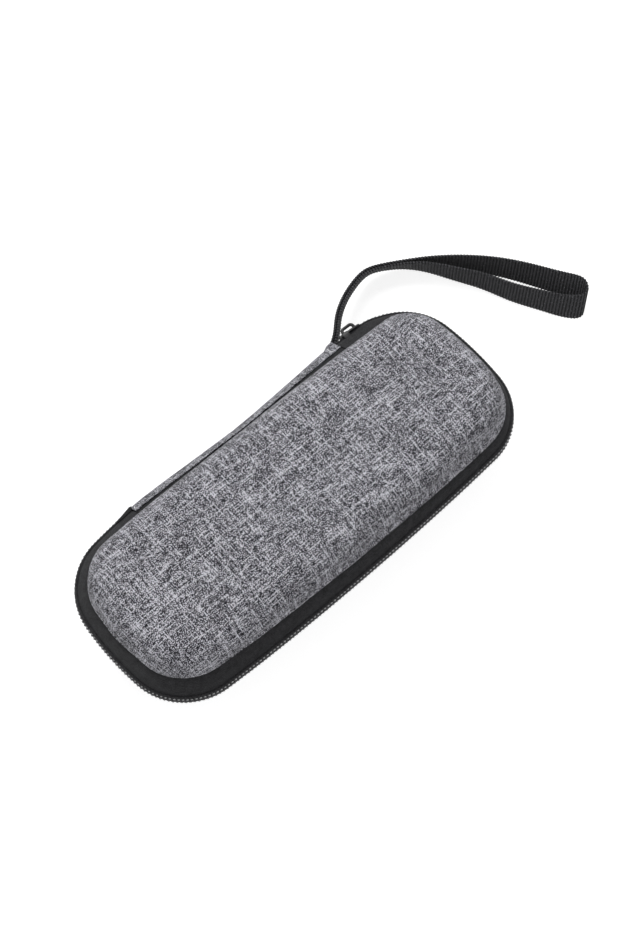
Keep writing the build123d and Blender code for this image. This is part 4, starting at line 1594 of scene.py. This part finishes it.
@dataclass
class WristStrap:
    """One webbing, doubled from its root and open at its end, with its fabric collar."""

    width: float = 12.2
    thickness: float = 1.25
    layer: float = 0.68
    rib: float = 1.4
    rings_per_rib: int = 6
    thinner: float = 0.34
    narrower: float = 0.045
    hinge_side_y: float = 41.22
    low_z: float = 6.1
    root_height: float = 10.6

    def stations(self) -> Array:
        """Stations of the webbing, from the far layer's root to the near one's.

        Returns:
            Rows of X, Y, Z and lean.
        """
        doubled, loop = np.array(DOUBLED), np.array(LOOP)
        for line in (doubled, loop):
            line[:, 1] += self.hinge_side_y
            line[:, 2] = self.low_z + line[:, 2] * self.root_height
        ahead = np.vstack([doubled[1:], doubled[-1:]])
        behind = np.vstack([doubled[:1], doubled[:-1]])
        way = unit((ahead - behind)[:, :2])
        far, near = doubled.copy(), doubled.copy()
        far[:, :2] -= np.c_[way[:, 1], -way[:, 0]] * self.layer
        near[:, :2] += np.c_[way[:, 1], -way[:, 0]] * self.layer
        return np.vstack([far, loop, near[::-1]])

    def webbing(self) -> Piece:
        """The webbing, ribbed across and scalloped at its edges.

        Returns:
            The new object.
        """
        rough, _ = smooth_line(self.stations(), 400)
        rings = round(run_along(rough[:, :3])[-1] / self.rib) * self.rings_per_rib
        line, run = smooth_line(self.stations(), rings)
        tangent = unit(np.gradient(line[:, :3], axis=0))
        across = unit(np.array([0, 0, 1.0]) + line[:, 3:4] * np.array([0.8, 0.6, 0]))
        aside = unit(np.cross(across, tangent))
        corners, shape = oblong(self.thickness / 2, self.width / 2, 0.5), []
        for a, b in zip(corners, np.roll(corners, -1, 0)):
            pieces = max(1, round(np.linalg.norm(b - a) / 1.6))
            shape += [a + (b - a) * k / pieces for k in range(pieces)]
        shape = np.array(shape)
        phase = TURN * run / self.rib
        thin = 1 - self.thinner * (0.5 + 0.5 * np.cos(phase))
        narrow = 1 - self.narrower * (0.5 + 0.5 * np.cos(phase + 0.6))
        points = (
            line[:, None, :3]
            + (thin[:, None] * shape[None, :, 0])[..., None] * aside[:, None]
            + (narrow[:, None] * shape[None, :, 1])[..., None] * across[:, None]
        )
        return lattice("strap_webbing", points, grid(run, girth_of(shape)), sharp=80)

    def collar(self) -> Piece:
        """The fold of fabric that the webbing's root is sewn into.

        Returns:
            The new object.
        """
        low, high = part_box("strap_collar")
        z_mid, y_in = (low.z + high.z) / 2 / MM, low.y / MM + 0.05
        xs = np.linspace(low.x / MM - 1.2, high.x / MM + 1.3, 22)
        rows, maps = [], []
        for number, x in enumerate(xs):
            share = number / (len(xs) - 1)
            reach = 0.8 + 4.2 * math.sin(math.pi / 2 * min(1.0, share * 1.25)) ** 0.8
            tall = 5.6 + 3.4 * share**0.7
            upper = [(0, 1), (0.7, 0.96), (1, 0.6)]
            shape = [(0, -1), *upper, *((out, -up) for out, up in upper[:0:-1])]
            corners = [(y_in + reach * out, z_mid + tall * up) for out, up in shape]
            section = rounded(corners, 1.2, 4)
            rows.append(np.c_[np.full(len(section), x), section])
            girth = girth_of(section)
            maps.append(np.c_[np.full(len(girth), x), girth])
        return lattice("strap_fold", np.stack(rows), np.stack(maps))

    def build(self) -> None:
        """Builds and dresses the strap and its collar."""
        strap = dress(self.webbing(), Finish.WEBBING, "wrist_strap")
        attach(strap, "strap")
        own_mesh(strap)
        fold = dress(self.collar(), Finish.HEATHER, "strap_collar")
        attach(fold, "base")


@dataclass
class Slider:
    """The slider, its wire bridge and the pull, softened from their solids."""

    edge: float = 0.14

    def softened(self, node: str, name: str) -> Piece:
        """A copy of a node's solid with its edges rounded.

        Args:
            node: The CAD node.
            name: Name of the new piece.

        Returns:
            The new object.
        """
        work = bmesh.new()
        work.from_mesh(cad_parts[node].data)
        bmesh.ops.remove_doubles(work, verts=work.verts, dist=1e-6)
        flat = math.radians(4)
        bmesh.ops.dissolve_limit(work, angle_limit=flat, verts=work.verts, edges=work.edges)
        mesh = bpy.data.meshes.new(name)
        work.to_mesh(mesh)
        work.free()
        made = added(name, mesh)
        bevel = made.modifiers.new("soft_edges", "BEVEL")
        bevel.width, bevel.segments = self.edge * MM, 2
        bevel.limit_method, bevel.angle_limit = "ANGLE", math.radians(35)
        graph = bpy.context.evaluated_depsgraph_get()
        final = bpy.data.meshes.new_from_object(made.evaluated_get(graph), depsgraph=graph)
        final.name = name
        made.modifiers.clear()
        made.data = final
        smooth(final, 40)
        return made

    def build(self) -> None:
        """Builds and dresses the slider's three pieces."""
        for node, name, body in (
            ("slider_body", "slider_shoe", "slider"),
            ("slider_bridge", "slider_wire", "slider"),
            ("pull_tab", "pull", "pull"),
        ):
            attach(dress(self.softened(node, name), Finish.ENAMEL, node), body)


# Stage


@dataclass
class Studio:
    """Camera at the photograph's angle, soft lights and a white floor."""

    look: Triple = (13.912, 7.858, ZIP_Z)
    distance: float = 800.0
    lens: float = 75.07
    back: Triple = (-0.2547, -0.2839, 0.9245)
    aim: Triple = (0.02, 0.01, 0.02)
    ambient: float = 0.42
    reach: float = 3.0
    floor_gray: float = 0.56
    floor_glow: float = 0.76

    def camera(self) -> None:
        """Places the camera."""
        data = bpy.data.cameras.new("camera")
        data.lens, data.sensor_width, data.sensor_fit = self.lens, 36.0, "AUTO"
        data.clip_start, data.clip_end = 0.01, 20.0
        camera = added("camera", data)
        back = Vector(self.back).normalized()
        right = Vector((-back.y, back.x, 0)).normalized()
        right = right if right.x > 0 else -right
        turn = Matrix((right, back.cross(right), back)).transposed().to_4x4()
        place = (Vector(self.look) + back * self.distance) * MM
        camera.matrix_world = Matrix.Translation(place) @ turn
        bpy.context.scene.camera = camera

    def lamp(self, name: str, place: Triple, size: float, power: float) -> None:
        """Adds one square soft lamp aimed at the case.

        Args:
            name: Its name.
            place: Where it stands, in metres.
            size: Its side, in metres.
            power: Its power, in watts.
        """
        data = bpy.data.lights.new(name, "AREA")
        data.shape, data.size, data.energy = "SQUARE", size, power
        lamp = added(name, data)
        lamp.location = place
        way = Vector(self.aim) - Vector(place)
        lamp.rotation_euler = way.to_track_quat("-Z", "Y").to_euler()

    def shown(self, bench: Bench) -> Field:
        """Tells the rays that show the white background from those that light the case.

        Args:
            bench: The bench of the floor or the world.

        Returns:
            1 for camera, glossy and transmission rays, and 0 for the others.
        """
        rays = bench.node("ShaderNodeLightPath").outputs
        kinds = ("Camera", "Glossy", "Transmission")
        seen, glossy, through = (Field(bench, rays[f"Is {kind} Ray"]) for kind in kinds)
        return (seen + glossy + through).clamped()

    def floor(self) -> None:
        """Adds the floor, white to the camera and with the case's shadow on it."""
        mesh = bpy.data.meshes.new("floor")
        signs = ((-1, -1), (1, -1), (1, 1), (-1, 1))
        corners = [(x * self.reach, y * self.reach, 0) for x, y in signs]
        mesh.from_pydata(corners, [], [(0, 1, 2, 3)])
        floor = added("floor", mesh)
        material = bpy.data.materials.new("white_floor")
        bench = Bench(material)
        glow = {"Strength": self.shown(bench) * self.floor_glow}
        gray = (self.floor_gray, self.floor_gray, self.floor_gray, 1)
        matt = bench.field("ShaderNodeBsdfDiffuse", 0, {}, {"Color": gray})
        light = bench.field("ShaderNodeEmission", 0, {}, glow)
        bench.close(bench.node("ShaderNodeAddShader", {}, {0: matt, 1: light}))
        mesh.materials.append(material)

    def build(self) -> None:
        """Builds the stage."""
        self.camera()
        self.floor()
        self.lamp("key", (0.30, 0.75, 1.15), 0.9, 13.5)
        self.lamp("fill", (-0.45, -0.85, 0.9), 1.3, 5.0)
        world = bpy.data.worlds.new("studio")
        bpy.context.scene.world = world
        bench = Bench(world, "ShaderNodeOutputWorld")
        strength = self.shown(bench) * (1.0 - self.ambient) + self.ambient
        inputs = {"Color": (1, 1, 1, 1), "Strength": strength}
        bench.close(bench.node("ShaderNodeBackground", {}, inputs))
        bpy.context.scene.view_settings.view_transform = "Standard"


def main() -> None:
    """Builds the case's looks in order."""
    logging.basicConfig(level=logging.INFO, format="%(name)s %(message)s")
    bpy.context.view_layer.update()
    repeat = PathRepeat()
    stitch = small_stitch()
    for half in Half:
        PaddedShell(half).build(repeat, stitch)
    Zipper().build(repeat, stitch)
    bpy.data.objects.remove(stitch)
    FabricHinge().build()
    InnerPocket().build()
    HoldingBand().build()
    WristStrap().build()
    Slider().build()
    Studio().build()


if __name__ == "__main__":
    main()
